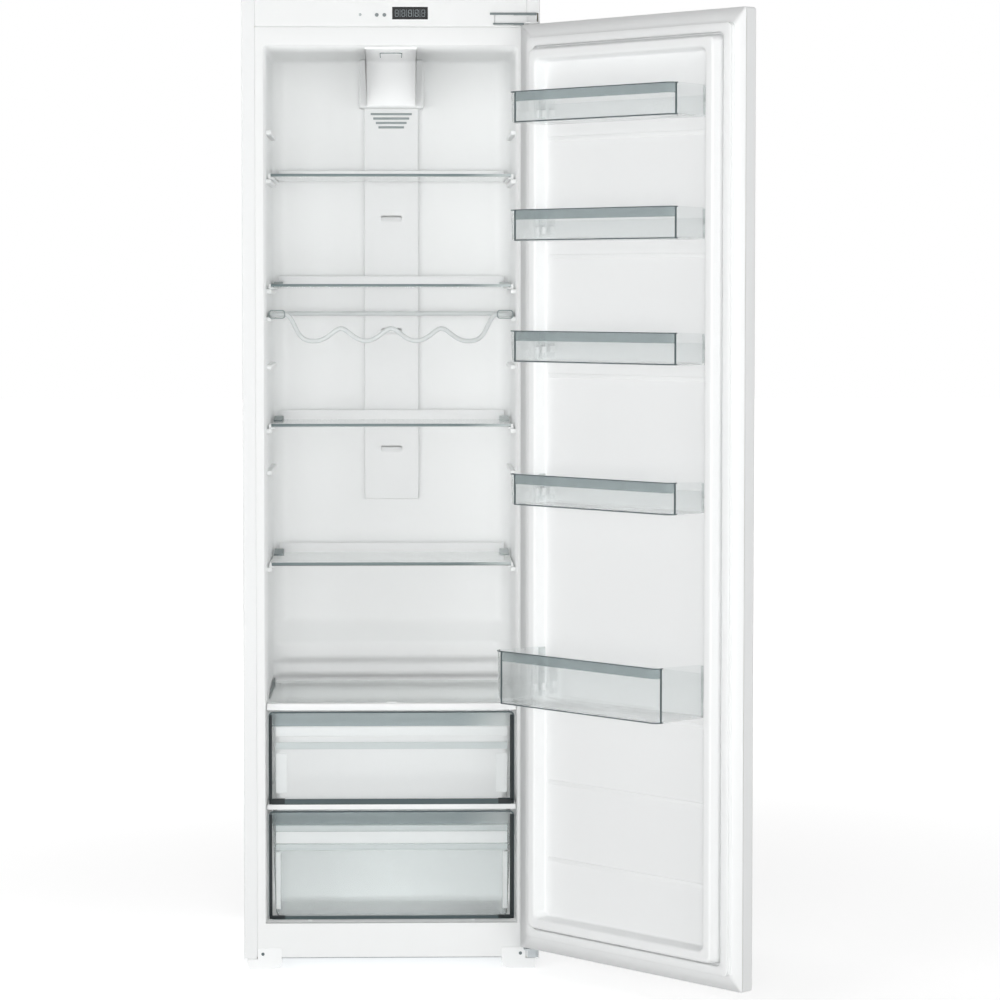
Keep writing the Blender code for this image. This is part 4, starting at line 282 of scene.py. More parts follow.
@dataclass
class Surface:
    """A grid of points that is one surface: a function of two parameters, row by column."""

    points: Array
    round_columns: bool = False
    round_rows: bool = False
    cap_first: bool = False
    cap_last: bool = False

    def faces(self, start: int) -> list[tuple[int, ...]]:
        """The grid's quads and caps, numbered from a first vertex.

        Args:
            start: The number of the grid's first vertex in its mesh.

        Returns:
            Vertex numbers of each face.
        """
        rows, columns = self.points.shape[:2]
        index = start + np.arange(rows * columns).reshape(rows, columns)
        first, last = index[0], index[-1]
        if self.round_columns:
            index = np.concatenate([index, index[:, :1]], axis=1)
        if self.round_rows:
            index = np.concatenate([index, index[:1]], axis=0)
        quads = np.stack([index[:-1, :-1], index[:-1, 1:], index[1:, 1:], index[1:, :-1]], -1)
        faces = [tuple(quad) for quad in quads.reshape(-1, 4).tolist()]
        if self.cap_first:
            faces.append(tuple(first[::-1].tolist()))
        if self.cap_last:
            faces.append(tuple(last.tolist()))
        return faces


def swung(surfaces: list[Surface]) -> list[Surface]:
    """Surfaces worked out for the closed door, swung open with it."""
    return [replace(surface, points=swing(surface.points)) for surface in surfaces]


def bar(low: Sequence[float], high: Sequence[float], radius: float, steps: int = 3) -> Surface:
    """A bar between two corners with all its edges rounded.

    Rounded rectangles climb along Z, and are drawn in by a quarter arc at both ends, which rounds
    the end edges too.

    Args:
        low: The bar's lowest X, depth and height.
        high: Its highest ones.
        radius: The radius of its edges.
        steps: How many parts each arc has.

    Returns:
        The closed surface.
    """
    inset, rise = quarter(radius, steps)
    inset = np.concatenate([inset, inset[::-1]])
    height = np.concatenate([low[2] + rise, high[2] - rise[::-1]])
    corner = np.maximum(radius - inset, radius * 0.02)[:, None]
    rings = rounded_rings((low[0] + inset, low[1] + inset), (high[0] - inset, high[1] - inset), corner, steps)
    return Surface(lying(rings, height[:, None, None]), True, False, True, True)


def pair(across: Span, depths: Span, heights: Span, radius: float, steps: int = 3) -> list[Surface]:
    """Two equal bars, one on either side of the middle.

    Args:
        across: The distances from the middle between which each bar lies.
        depths: Its front and back depths.
        heights: Its lowest and highest heights.
        radius: The radius of its edges.
        steps: How many parts each arc has.

    Returns:
        The left bar and the right one.
    """
    (near, far), (low, high) = depths, heights
    return [bar((left, near, low), (right, far, high), radius, steps) for left, right in mirrored(across)]


def carried(path: Array, profile: Array, closed: bool = False, fixed: Triple = (0.0, 0.0, 1.0)) -> Surface:
    """A closed profile carried along a path in space.

    At each point of the path the profile's first coordinate goes along the path's direction
    crossed with a fixed one, and its second along the direction across both.

    Args:
        path: Points of shape (n, 3), nowhere along the fixed direction.
        profile: A closed outline of shape (m, 2).
        closed: Whether the path joins its own start.
        fixed: The fixed direction.

    Returns:
        The closed surface.
    """
    ahead = np.roll(path, -1, axis=0) - np.roll(path, 1, axis=0) if closed else np.gradient(path, axis=0)
    ahead = ahead / np.linalg.norm(ahead, axis=1, keepdims=True)
    side = np.cross(ahead, np.array(fixed))
    side = side / np.linalg.norm(side, axis=1, keepdims=True)
    over = np.cross(side, ahead)
    points = path[:, None] + side[:, None] * profile[None, :, :1] + over[:, None] * profile[None, :, 1:]
    return Surface(points, True, closed, not closed, not closed)


def turned(profile: Sequence[Sequence[float]], foot: Triple, back: bool = False, sides: int = 48) -> Surface:
    """A turned form: each (radius, height) of a profile becomes a ring about an axis.

    Args:
        profile: The (radius, height) pairs from one end to the other.
        foot: Where the axis starts.
        back: Whether the axis runs back along Y instead of up.
        sides: How many points a ring has.

    Returns:
        The closed surface.
    """
    table = np.asarray(profile, float)
    rings = np.maximum(table[:, :1], 1e-5)[..., None] * circle(1.0, sides)[None]
    along = np.broadcast_to(table[:, 1:, None], (*rings.shape[:2], 1))
    order = [rings[..., :1], along, rings[..., 1:]] if back else [rings, along]
    return Surface(np.concatenate(order, -1) + np.asarray(foot), True, False, True, True)


def prism(outline: Array, low: float, high: float, edge: float, backward: bool = False) -> Surface:
    """A closed outline carried straight between two places, with rounded end edges.

    Args:
        outline: (depth, height) points for a piece along X, or (X, height) points for one along Y.
        low: Where the piece starts: an X, or a depth.
        high: Where it ends.
        edge: The radius of its end edges.
        backward: Whether the piece runs back along Y.

    Returns:
        The closed surface.
    """
    inset, rise = quarter(edge)
    rings = drawn_in(outline, np.concatenate([inset, inset[::-1]]))
    along = np.concatenate([low + rise, high - rise[::-1]])
    if backward:
        return Surface(standing(rings, along), True, False, True, True)
    along = np.broadcast_to(along[:, None, None], (*rings.shape[:2], 1))
    points = np.concatenate([along, deep(rings[..., :1]), rings[..., 1:]], -1)
    return Surface(points, True, False, True, True)


def frame_ring(low: Span, high: Span, bands: Triple, depths: Span, radius: float) -> Surface:
    """A flat rounded frame that faces the front: parallel rounded outlines joined into one ring.

    Args:
        low: The frame's lowest X and height.
        high: Its highest.
        bands: How wide it is at its sides, its foot and its head.
        depths: Its front and back depths.
        radius: The radius of its outer corners.

    Returns:
        The closed surface, with a small bevel at its front edges.
    """
    ease = 0.0005
    side, foot, head = (np.array([0.0, 0.0, ease, band - ease, band, band]) for band in bands)
    inner = max(radius - min(bands), 0.0006)
    radii = np.array([radius, radius, radius - ease, inner + ease, inner, inner])[:, None]
    rings = rounded_rings((low[0] + side, low[1] + foot), (high[0] - side, high[1] - head), radii)
    front, back = depths
    levels = np.array([back, front + ease, front, front, front + ease, back])
    return Surface(standing(rings, levels), True, True)


def mesh_from(name: str, surfaces: Iterable[Surface], sharp: float = SOFT) -> bpy.types.Object:
    """One object from surfaces, with doubles merged, faces outward and flat only past an angle.

    Args:
        name: The piece's name.
        surfaces: Grids that together make the piece.
        sharp: The angle in degrees past which an edge stays sharp.

    Returns:
        The new object, at the origin.
    """
    surfaces = list(surfaces)
    starts = np.cumsum([0] + [surface.points[..., 0].size for surface in surfaces]).tolist()
    points = np.concatenate([surface.points.reshape(-1, 3) for surface in surfaces])
    faces = [face for surface, start in zip(surfaces, starts) for face in surface.faces(start)]
    mesh = bpy.data.meshes.new(name)
    mesh.from_pydata(points.tolist(), [], faces)
    shape = bmesh.new()
    shape.from_mesh(mesh)
    bmesh.ops.remove_doubles(shape, verts=shape.verts, dist=1e-6)
    bmesh.ops.dissolve_degenerate(shape, edges=shape.edges, dist=1e-7)
    bmesh.ops.recalc_face_normals(shape, faces=shape.faces)
    shape.to_mesh(mesh)
    shape.free()
    mesh.shade_smooth()
    mesh.set_sharp_from_angle(angle=math.radians(sharp))
    piece = bpy.data.objects.new(name, mesh)
    bpy.context.scene.collection.objects.link(piece)
    return piece


def sheet(name: str, surfaces: Iterable[Surface], seen: Sequence[float], wall: float) -> bpy.types.Object:
    """An open sheet that faces a point, with its wall on the side away from it.

    Args:
        name: The piece's name.
        surfaces: Grids that together make the sheet.
        seen: A point that sees the sheet's good side.
        wall: How thick the sheet is, or zero for a bare one.

    Returns:
        The new object, at the origin.
    """
    piece = mesh_from(name, surfaces)
    shape = bmesh.new()
    shape.from_mesh(piece.data)
    point = Vector(seen)
    total = sum(f.normal.dot(point - f.calc_center_median()) * f.calc_area() for f in shape.faces)
    if total < 0:
        bmesh.ops.reverse_faces(shape, faces=shape.faces)
    shape.to_mesh(piece.data)
    shape.free()
    if wall:
        solidify = piece.modifiers.new("wall", "SOLIDIFY")
        solidify.thickness, solidify.offset, solidify.use_even_offset = wall, -1, True
    return piece


def notched(piece: bpy.types.Object, tools: Sequence[Surface]) -> bpy.types.Object:
    """Cuts bars out of a piece, and applies the cut to its mesh.

    Args:
        piece: The closed piece to cut.
        tools: The bars.

    Returns:
        The same piece.
    """
    tool = mesh_from("notch_tool", tools, FIRM)
    cut = piece.modifiers.new("notches", "BOOLEAN")
    cut.operation, cut.solver, cut.object = "DIFFERENCE", "EXACT", tool
    graph = bpy.context.evaluated_depsgraph_get()
    made = bpy.data.meshes.new_from_object(piece.evaluated_get(graph))
    piece.modifiers.clear()
    piece.data = made
    bpy.data.objects.remove(tool)
    return piece


# ---------------------------------------------------------------- finishes


def linear(colour: Sequence[float]) -> tuple[float, ...]:
    """A colour as it looks on the screen, turned into Blender's linear values with a full alpha.

    A value is divided by 12.92 where it is small, and else is (value + 0.055) / 1.055 raised to 2.4.

    Args:
        colour: Red, green and blue from 0 to 1.

    Returns:
        Four values.
    """
    value = np.asarray(colour, float)
    out = np.where(value <= 0.04045, value / 12.92, ((value + 0.055) / 1.055) ** 2.4)
    return (*out.tolist(), 1.0)


def feed(tree: Tree, node: bpy.types.Node, inputs: dict[str | int, object]) -> bpy.types.Node:
    """Links a node's inputs to sockets, or sets them to plain values.

    Args:
        tree: The tree that holds the node.
        node: The node.
        inputs: A socket or a value for each input's name or number.

    Returns:
        The same node.
    """
    for label, value in inputs.items():
        if isinstance(value, Socket):
            tree.links.new(value, node.inputs[label])
        else:
            node.inputs[label].default_value = value
    return node


def added(tree: Tree, kind: str, inputs: dict[str | int, object], operation: str = "") -> Outputs:
    """Puts a new shader node into a tree and feeds it.

    Args:
        tree: The tree.
        kind: The node's kind, as it follows ShaderNode in its type's name.
        inputs: A socket or a value for each input's name or number.
        operation: The node's operation, where it has one.

    Returns:
        The node's outputs.
    """
    node = tree.nodes.new(f"ShaderNode{kind}")
    if operation:
        node.operation = operation
    return feed(tree, node, inputs).outputs


def maths(tree: Tree, operation: str, one: object, two: object) -> Socket:
    """The result of a maths node on two sockets or numbers."""
    return added(tree, "Math", {0: one, 1: two}, operation)[0]


def mixed(tree: Tree, share: object, one: object, two: object) -> Socket:
    """The mix of two colours.

    Args:
        tree: The tree that gets the node.
        share: The second colour's share.
        one: The first colour.
        two: The second colour.

    Returns:
        The result's socket.
    """
    node = tree.nodes.new("ShaderNodeMix")
    node.data_type = "RGBA"
    return feed(tree, node, {0: share, 6: one, 7: two}).outputs[2]


def ranged(tree: Tree, inputs: dict[str, object], kind: str = "LINEAR") -> Socket:
    """A value carried from one range to another.

    Args:
        tree: The tree that gets the node.
        inputs: The value and the ends of the ranges.
        kind: The way it is interpolated.

    Returns:
        The result's socket.
    """
    node = tree.nodes.new("ShaderNodeMapRange")
    node.interpolation_type = kind
    return feed(tree, node, inputs).outputs["Result"]


class Effects:
    """Shader node groups that several finishes share, built once."""

    def __init__(self) -> None:
        """Builds the groups."""
        self.surface = self._surface()
        self.cells = self._cells()
        self.fade = self._highlight_fade()

    @staticmethod
    def _tree(name: str, inputs: dict[str, str], outputs: dict[str, str]) -> tuple:
        """A new node group with named sockets.

        Args:
            name: The group's name.
            inputs: The socket type of each input.
            outputs: The socket type of each output.

        Returns:
            The group, the sockets that its inputs arrive on, and its output node.
        """
        tree = bpy.data.node_groups.new(name, "ShaderNodeTree")
        for way, sockets in (("INPUT", inputs), ("OUTPUT", outputs)):
            for label, kind in sockets.items():
                tree.interface.new_socket(name=label, in_out=way, socket_type=kind)
        return tree, tree.nodes.new("NodeGroupInput").outputs, tree.nodes.new("NodeGroupOutput")

    def _surface(self) -> Tree:
        """Fine grain, a slow swell of colour, and the uneven film that wiping leaves.

        The colour is the given one times 1 plus the shift times a slow noise about zero. The
        roughness is the given one plus the film times a stretched noise. The height is a fine noise.

        Returns:
            The group.
        """
        given = {"Place": VECTOR, "Colour": COLOUR, "Shift": REAL, "Rough": REAL, "Film": REAL,
                 "Grain": REAL, "Swell": REAL}
        results = {"Colour": COLOUR, "Rough": REAL, "Height": REAL}
        tree, source, out = self._tree("surface_detail", given, results)
        place = source["Place"]
        stretched = added(tree, "Mapping", {"Vector": place, "Scale": (1.0, 1.0, 0.25)})["Vector"]
        wipe = added(tree, "TexNoise", {"Vector": stretched, "Scale": 9.0, "Detail": 5.0})["Fac"]
        swell = added(tree, "TexNoise", {"Vector": place, "Scale": source["Swell"]})["Fac"]
        grain = added(tree, "TexNoise", {"Vector": place, "Scale": source["Grain"], "Detail": 3.0})["Fac"]
        level = maths(tree, "MULTIPLY", maths(tree, "SUBTRACT", swell, 0.5), source["Shift"])
        level = maths(tree, "ADD", level, 1.0)
        tint = added(tree, "VectorMath", {0: source["Colour"], "Scale": level}, "SCALE")["Vector"]
        rough = maths(tree, "ADD", maths(tree, "MULTIPLY", wipe, source["Film"]), source["Rough"])
        feed(tree, out, {"Colour": tint, "Rough": rough, "Height": grain})
        return tree

    def _cells(self) -> Tree:
        """Open cells such as foam shows: a height and a shade that change towards each cell's edge.

        Returns:
            The group.
        """
        given = {"Place": VECTOR, "Light": COLOUR, "Dark": COLOUR, "Scale": REAL}
        tree, source, out = self._tree("foam_cells", given, {"Colour": COLOUR, "Height": REAL})
        away = added(tree, "TexVoronoi", {"Vector": source["Place"], "Scale": source["Scale"]})["Distance"]
        feed(tree, out, {"Colour": mixed(tree, away, source["Light"], source["Dark"]), "Height": away})
        return tree

    def _highlight_fade(self) -> Tree:
        """A painted highlight: a colour that pales towards both ends, where a sheet catches the light.

        The share of the pale colour rises smoothly from 0 to 1 as the distance along X from a middle
        goes from one reach to another.

        Returns:
            The group.
        """
        given = {"Place": VECTOR, "Colour": COLOUR, "Pale": COLOUR, "Middle": REAL, "Start": REAL,
                 "End": REAL}
        tree, source, out = self._tree("highlight_faded_end", given, {"Colour": COLOUR})
        across = added(tree, "SeparateXYZ", {0: source["Place"]})["X"]
        away = maths(tree, "SUBTRACT", across, source["Middle"])
        share = ranged(tree, {"Value": maths(tree, "ABSOLUTE", away, 0.0), "From Min": source["Start"],
                              "From Max": source["End"]}, "SMOOTHSTEP")
        feed(tree, out, {"Colour": mixed(tree, share, source["Colour"], source["Pale"])})
        return tree


@dataclass(frozen=True)
class Finish:
    """One finish: how a material looks, from its colour down to its grain.

    Film is how uneven the roughness is, shift how strong the swell is, and bend the index of
    refraction. Solid is a clear finish's alpha to the eye, and shade its alpha to light that passes.
    Cells is the dark colour between foam cells. Pale is the painted highlight's colour at the ends of a
    piece, and fade that highlight's middle along X, its start and its end.
    """

    name: str
    colour: Triple
    rough: float
    film: float = 0.06
    shift: float = 0.03
    metal: float = 0.0
    coat: float = 0.0
    grain: float = 900.0
    depth: float = 0.00003
    swell: float = 3.0
    clear: float = 0.0
    bend: float = 1.45
    solid: float = 1.0
    shade: float = 0.35
    cells: Triple | None = None
    glow: float = 0.0
    # Painted highlight: pale is the colour a piece pales to towards its ends along X.
    pale: Triple | None = None
    fade: Triple = (0.0, 0.16, 0.24)

    def made(self, effects: Effects) -> bpy.types.Material:
        """Builds the material.

        Args:
            effects: The shared node groups.

        Returns:
            The material.
        """
        material = bpy.data.materials.new(self.name)
        material.use_nodes = True
        tree = material.node_tree
        where = added(tree, "TexCoord", {})["Object"]
        own = linear(self.colour)
        surface = self._group(tree, effects.surface, {
            "Place": where, "Colour": own, "Shift": self.shift, "Rough": self.rough, "Film": self.film,
            "Grain": self.grain, "Swell": self.swell})
        colour, height = surface["Colour"], surface["Height"]
        if self.cells is not None:
            cells = self._group(tree, effects.cells, {
                "Place": where, "Light": own, "Dark": linear(self.cells), "Scale": self.grain})
            colour, height = cells["Colour"], cells["Height"]
        # Painted highlight: the colour pales towards both ends along X.
        if self.pale is not None:
            middle, start, end = self.fade
            colour = self._group(tree, effects.fade, {
                "Place": where, "Colour": colour, "Pale": linear(self.pale), "Middle": middle, "Start": start,
                "End": end})["Colour"]
        normal = added(tree, "Bump", {"Distance": self.depth, "Height": height})["Normal"]
        shader = feed(tree, tree.nodes["Principled BSDF"], {
            "Base Color": colour, "Roughness": surface["Rough"], "Normal": normal,
            "Metallic": self.metal, "Coat Weight": self.coat, "Coat Roughness": 0.15, "IOR": self.bend,
            "Transmission Weight": self.clear})
        if self.glow:
            feed(tree, shader, {"Emission Color": colour, "Emission Strength": self.glow})
        if self.clear:
            feed(tree, shader, {"Alpha": self._light_through(tree)})
        return material

    @staticmethod
    def _group(tree: Tree, group: Tree, inputs: dict[str, object]) -> Outputs:
        """Puts a shared group to use in a tree.

        Args:
            tree: The tree.
            group: The shared group.
            inputs: A socket or a value for each of its inputs.

        Returns:
            Its outputs.
        """
        node = tree.nodes.new("ShaderNodeGroup")
        node.node_tree = group
        return feed(tree, node, inputs).outputs

    def _light_through(self, tree: Tree) -> Socket:
        """Alpha that lets most light pass straight through, as thin plastic and glass do.

        It falls from the finish's solid share to its shade for shadow rays and for light that matt
        surfaces bounce.

        Args:
            tree: The material's tree.

        Returns:
            The alpha's socket.
        """
        rays = added(tree, "LightPath", {})
        either = maths(tree, "MAXIMUM", rays["Is Shadow Ray"], rays["Is Diffuse Ray"])
        return ranged(tree, {"Value": either, "To Min": self.solid, "To Max": self.shade})


FINISHES = {
    Slot.WHITE_STEEL: Finish("white_steel", (0.912, 0.917, 0.917), 0.36, coat=0.2, grain=350, depth=0.00004),
    Slot.ZINC_STEEL: Finish("zinc_steel", (0.72, 0.74, 0.75), 0.36, 0.14, 0.12, 1.0, grain=500, swell=30),
    Slot.BLACK_STEEL: Finish("black_steel", (0.07, 0.07, 0.075), 0.42, 0.1, 0.1, coat=0.2, grain=300),
    Slot.WHITE_PLASTIC: Finish("white_plastic", (0.94, 0.945, 0.945), 0.36, grain=1100),
    Slot.LAMP_PLASTIC: Finish("lamp_plastic", (0.965, 0.97, 0.97), 0.34, glow=0.14),
    Slot.CLEAR_PLASTIC: Finish("clear_plastic", (0.975, 0.985, 0.985), 0.04, 0.03, 0.01, clear=1.0,
                               depth=0.00001, bend=1.2, shade=0.03),
    Slot.SMOKED_PLASTIC: Finish("smoked_plastic", (0.70, 0.735, 0.74), 0.08, 0.05, 0.03, clear=1.0,
                                depth=0.00001, bend=1.25, shade=0.30),
    Slot.DARK_TRIM: Finish("dark_trim", (0.42, 0.46, 0.465), 0.24, coat=0.3),
    Slot.CLEAR_GLASS: Finish("clear_glass", (0.975, 0.988, 0.984), 0.02, 0.02, 0.01, clear=1.0,
                             depth=0.000004, bend=1.25, shade=0.03),
    Slot.DISPLAY_GLASS: Finish("display_glass", (0.07, 0.08, 0.085), 0.10, 0.05, coat=0.3, depth=0.000004),
    Slot.SEAL_RUBBER: Finish("seal_rubber", (0.925, 0.93, 0.93), 0.55, grain=700, depth=0.00006),
    Slot.FOAM: Finish("foam", (0.90, 0.86, 0.70), 0.85, grain=600, depth=0.0004, cells=(0.72, 0.66, 0.46)),
    Slot.COPPER: Finish("copper", (0.84, 0.56, 0.42), 0.26, 0.16, 0.2, 1.0, grain=300, swell=25),
    Slot.BOARD_GREEN: Finish("board_green", (0.13, 0.40, 0.25), 0.38, coat=0.6, grain=250,
                             cells=(0.08, 0.3, 0.18)),
    Slot.WHITE_WIRE: Finish("white_wire", (0.82, 0.835, 0.835), 0.26, coat=0.4, grain=500, depth=0.00002),
}
MILKY = Finish("milky_plastic", (0.965, 0.972, 0.972), 0.30, clear=0.62, depth=0.00001, bend=1.12, shade=0.06)
HAZY = Finish("hazy_plastic", (0.955, 0.967, 0.967), 0.18, clear=0.88, depth=0.00001, bend=1.12, shade=0.06)
FROSTED = Finish("frosted_plastic", (0.94, 0.95, 0.95), 0.35, clear=0.55, bend=1.2, shade=0.10)
# Painted shade: grey strips across the drawer fronts.
SHADE_GREY_RAIL = Finish("painted_shade_rail", (0.85, 0.875, 0.875), 0.30, clear=0.45, bend=1.2, shade=0.4)
# Dark trim made near black with painted shade, where refraction darkens the drawer fronts' end edges.
TRIM_AND_SHADE_BLACK = Finish("edge_black", (0.10, 0.13, 0.14), 0.30, grain=600, depth=0.00001)
# Dark trim round the drawer fronts, and painted shade along the balconies' clear edges.
DARK_TRIM_AND_EDGE_SHADE = Finish("edge_dark", (0.28, 0.33, 0.34), 0.30, grain=600, depth=0.00001)
# Grey screws and trim, and painted shade on the lamp latch's white edge.
GREY_PARTS_AND_SHADE = Finish("edge_grey", (0.40, 0.45, 0.455), 0.28, grain=600, depth=0.00001)
TRAY_CLEAR = Finish("tray_clear", (0.935, 0.945, 0.945), 0.06, 0.03, 0.01, clear=1.0, depth=0.00001,
                    bend=1.1, solid=0.55, shade=0.05)
# Smoked band whose colour pales towards its ends: a painted highlight.
TRAY_BAND_HIGHLIT = Finish("tray_band", (0.69, 0.73, 0.735), 0.10, 0.05, 0.03, clear=0.85, depth=0.00001, bend=1.2,
                   shade=0.30, pale=(0.80, 0.83, 0.83), fade=(0.54, 0.30, 0.37))
# Smoked band whose colour pales towards its ends: a painted highlight.
DRAWER_BAND_HIGHLIT = Finish("drawer_band_painted_highlight", (0.71, 0.745, 0.75), 0.10, 0.05, 0.03, clear=0.9, depth=0.00001, bend=1.2,
                     shade=0.30, pale=(0.86, 0.875, 0.875), fade=(-0.045, 0.165, 0.260))
# Dark trim whose colour pales towards its right end: a painted highlight.
SHELF_EDGE_HIGHLIT = Finish("shelf_edge", (0.44, 0.495, 0.50), 0.28, grain=600, depth=0.00001,
                    pale=(0.74, 0.77, 0.77), fade=(-0.10, 0.22, 0.32))
# Painted light: pale strips that lift the balconies' shaded end walls.
TRAY_CHEEK_LIT = Finish("tray_cheek", (0.89, 0.91, 0.91), 0.12, 0.03, 0.01, clear=0.8, depth=0.00001, bend=1.1,
                    solid=0.6, shade=0.1)
# Lit and shaded copies of one white: the cavity's copy is painted lighter against its shade, and the front's
# copy darker against its light.
LINER_WHITE_LIFTED = Finish("liner_white_shade_lifted", (0.958, 0.963, 0.962), 0.36, grain=1100)
FRAME_WHITE_DIMMED = Finish("frame_white_light_dimmed", (0.918, 0.923, 0.922), 0.36, grain=1100)
# Painted shade: grey strips where the grille's slits look dark.
SLIT_SHADE_GREY = Finish("painted_slit_shade", (0.62, 0.655, 0.655), 0.5, grain=900)
# Painted shade: grey bars where the upper hinge's gaps look dark.
GAP_SHADE_GREY = Finish("painted_gap_shade", (0.46, 0.50, 0.505), 0.4, grain=900)
# Painted shade: the grey of the loops round the rack wire's front corners.
LOOP_SHADE_GREY = Finish("painted_loop_shade", (0.58, 0.62, 0.62), 0.25, clear=0.2, bend=1.2, shade=0.4)
BUTTON_GREY = Finish("button_grey", (0.52, 0.55, 0.555), 0.4)
DIGIT_GREY = Finish("display_digits", (0.60, 0.64, 0.65), 0.3, glow=0.05)
LENS_GREY = Finish("pilot_lens", (0.70, 0.73, 0.73), 0.2, coat=0.6)
BLACK_TUBE = Finish("black_tube", (0.16, 0.16, 0.16), 0.35, coat=0.3, grain=500, depth=0.00002)
PALE_FLOOR = Finish("pale_floor", (0.99, 0.99, 0.99), 0.9, 0.0, 0.0, depth=0.00002)


class Workshop:
    """Holds the finishes, and puts each new piece on its body."""

    def __init__(self) -> None:
        """Builds the finish of every slot once."""
        self.effects = Effects()
        self.materials = {slot: finish.made(self.effects) for slot, finish in FINISHES.items()}
        self.others: dict[str, bpy.types.Material] = {}

    def own(self, finish: Finish) -> bpy.types.Material:
        """The material of a finish that isn't in the record, made at its first use.

        Args:
            finish: The finish.

        Returns:
            The material.
        """
        if finish.name not in self.others:
            self.others[finish.name] = finish.made(self.effects)
        return self.others[finish.name]

    def place(self, piece: bpy.types.Object, body: Body | str, slot: Slot, replaces: Sequence[str] = (),
              finish: Finish | None = None) -> None:
        """Gives a piece its finish, its body and the nodes that it stands for.

        Args:
            piece: The piece.
            body: The body that it rides on.
            slot: The record's slot.
            replaces: CAD nodes that it stands for.
            finish: A finish of its own, where the slot's isn't right.
        """
        material = self.own(finish) if finish else self.materials[slot]
        piece.data.materials.clear()
        piece.data.materials.append(material)
        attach(piece, body.value if isinstance(body, Body) else body)
        if replaces:
            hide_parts(*replaces)
        LOG.info("%s rides on %s, %d faces", piece.name, body, len(piece.data.polygons))

    def add(self, name: str, surfaces: Iterable[Surface], body: Body | str, slot: Slot,
            replaces: Sequence[str] = (), finish: Finish | None = None, sharp: float = SOFT) -> None:
        """Makes a piece from surfaces and puts it in its place.

        Args:
            name: The piece's name.
            surfaces: Grids that together make the piece.
            body: The body that it rides on.
            slot: The record's slot.
            replaces: CAD nodes that it stands for.
            finish: A finish of its own, where the slot's isn't right.
            sharp: The angle in degrees past which an edge stays sharp.
        """
        self.place(mesh_from(name, surfaces, sharp), body, slot, replaces, finish)

    def dress(self, nodes: dict[str, bpy.types.Object]) -> None:
        """Gives each CAD node the finish that its own material slot names.

        Args:
            nodes: The frame's nodes.
        """
        # The fascia takes the front's white, painted darker against the strong light there.
        own = {"hinge_bracket_top": self.materials[Slot.WHITE_STEEL], "control_fascia": self.own(FRAME_WHITE_DIMMED)}
        own["button_mode"] = own["button_set"] = self.own(BUTTON_GREY)
        for name, node in nodes.items():
            for held in node.material_slots:
                held.material = own.get(name) or self.materials[Slot(held.material.name.split(".")[0])]
            LOG.info("%s keeps its own shape", name)


# ---------------------------------------------------------------- cabinet


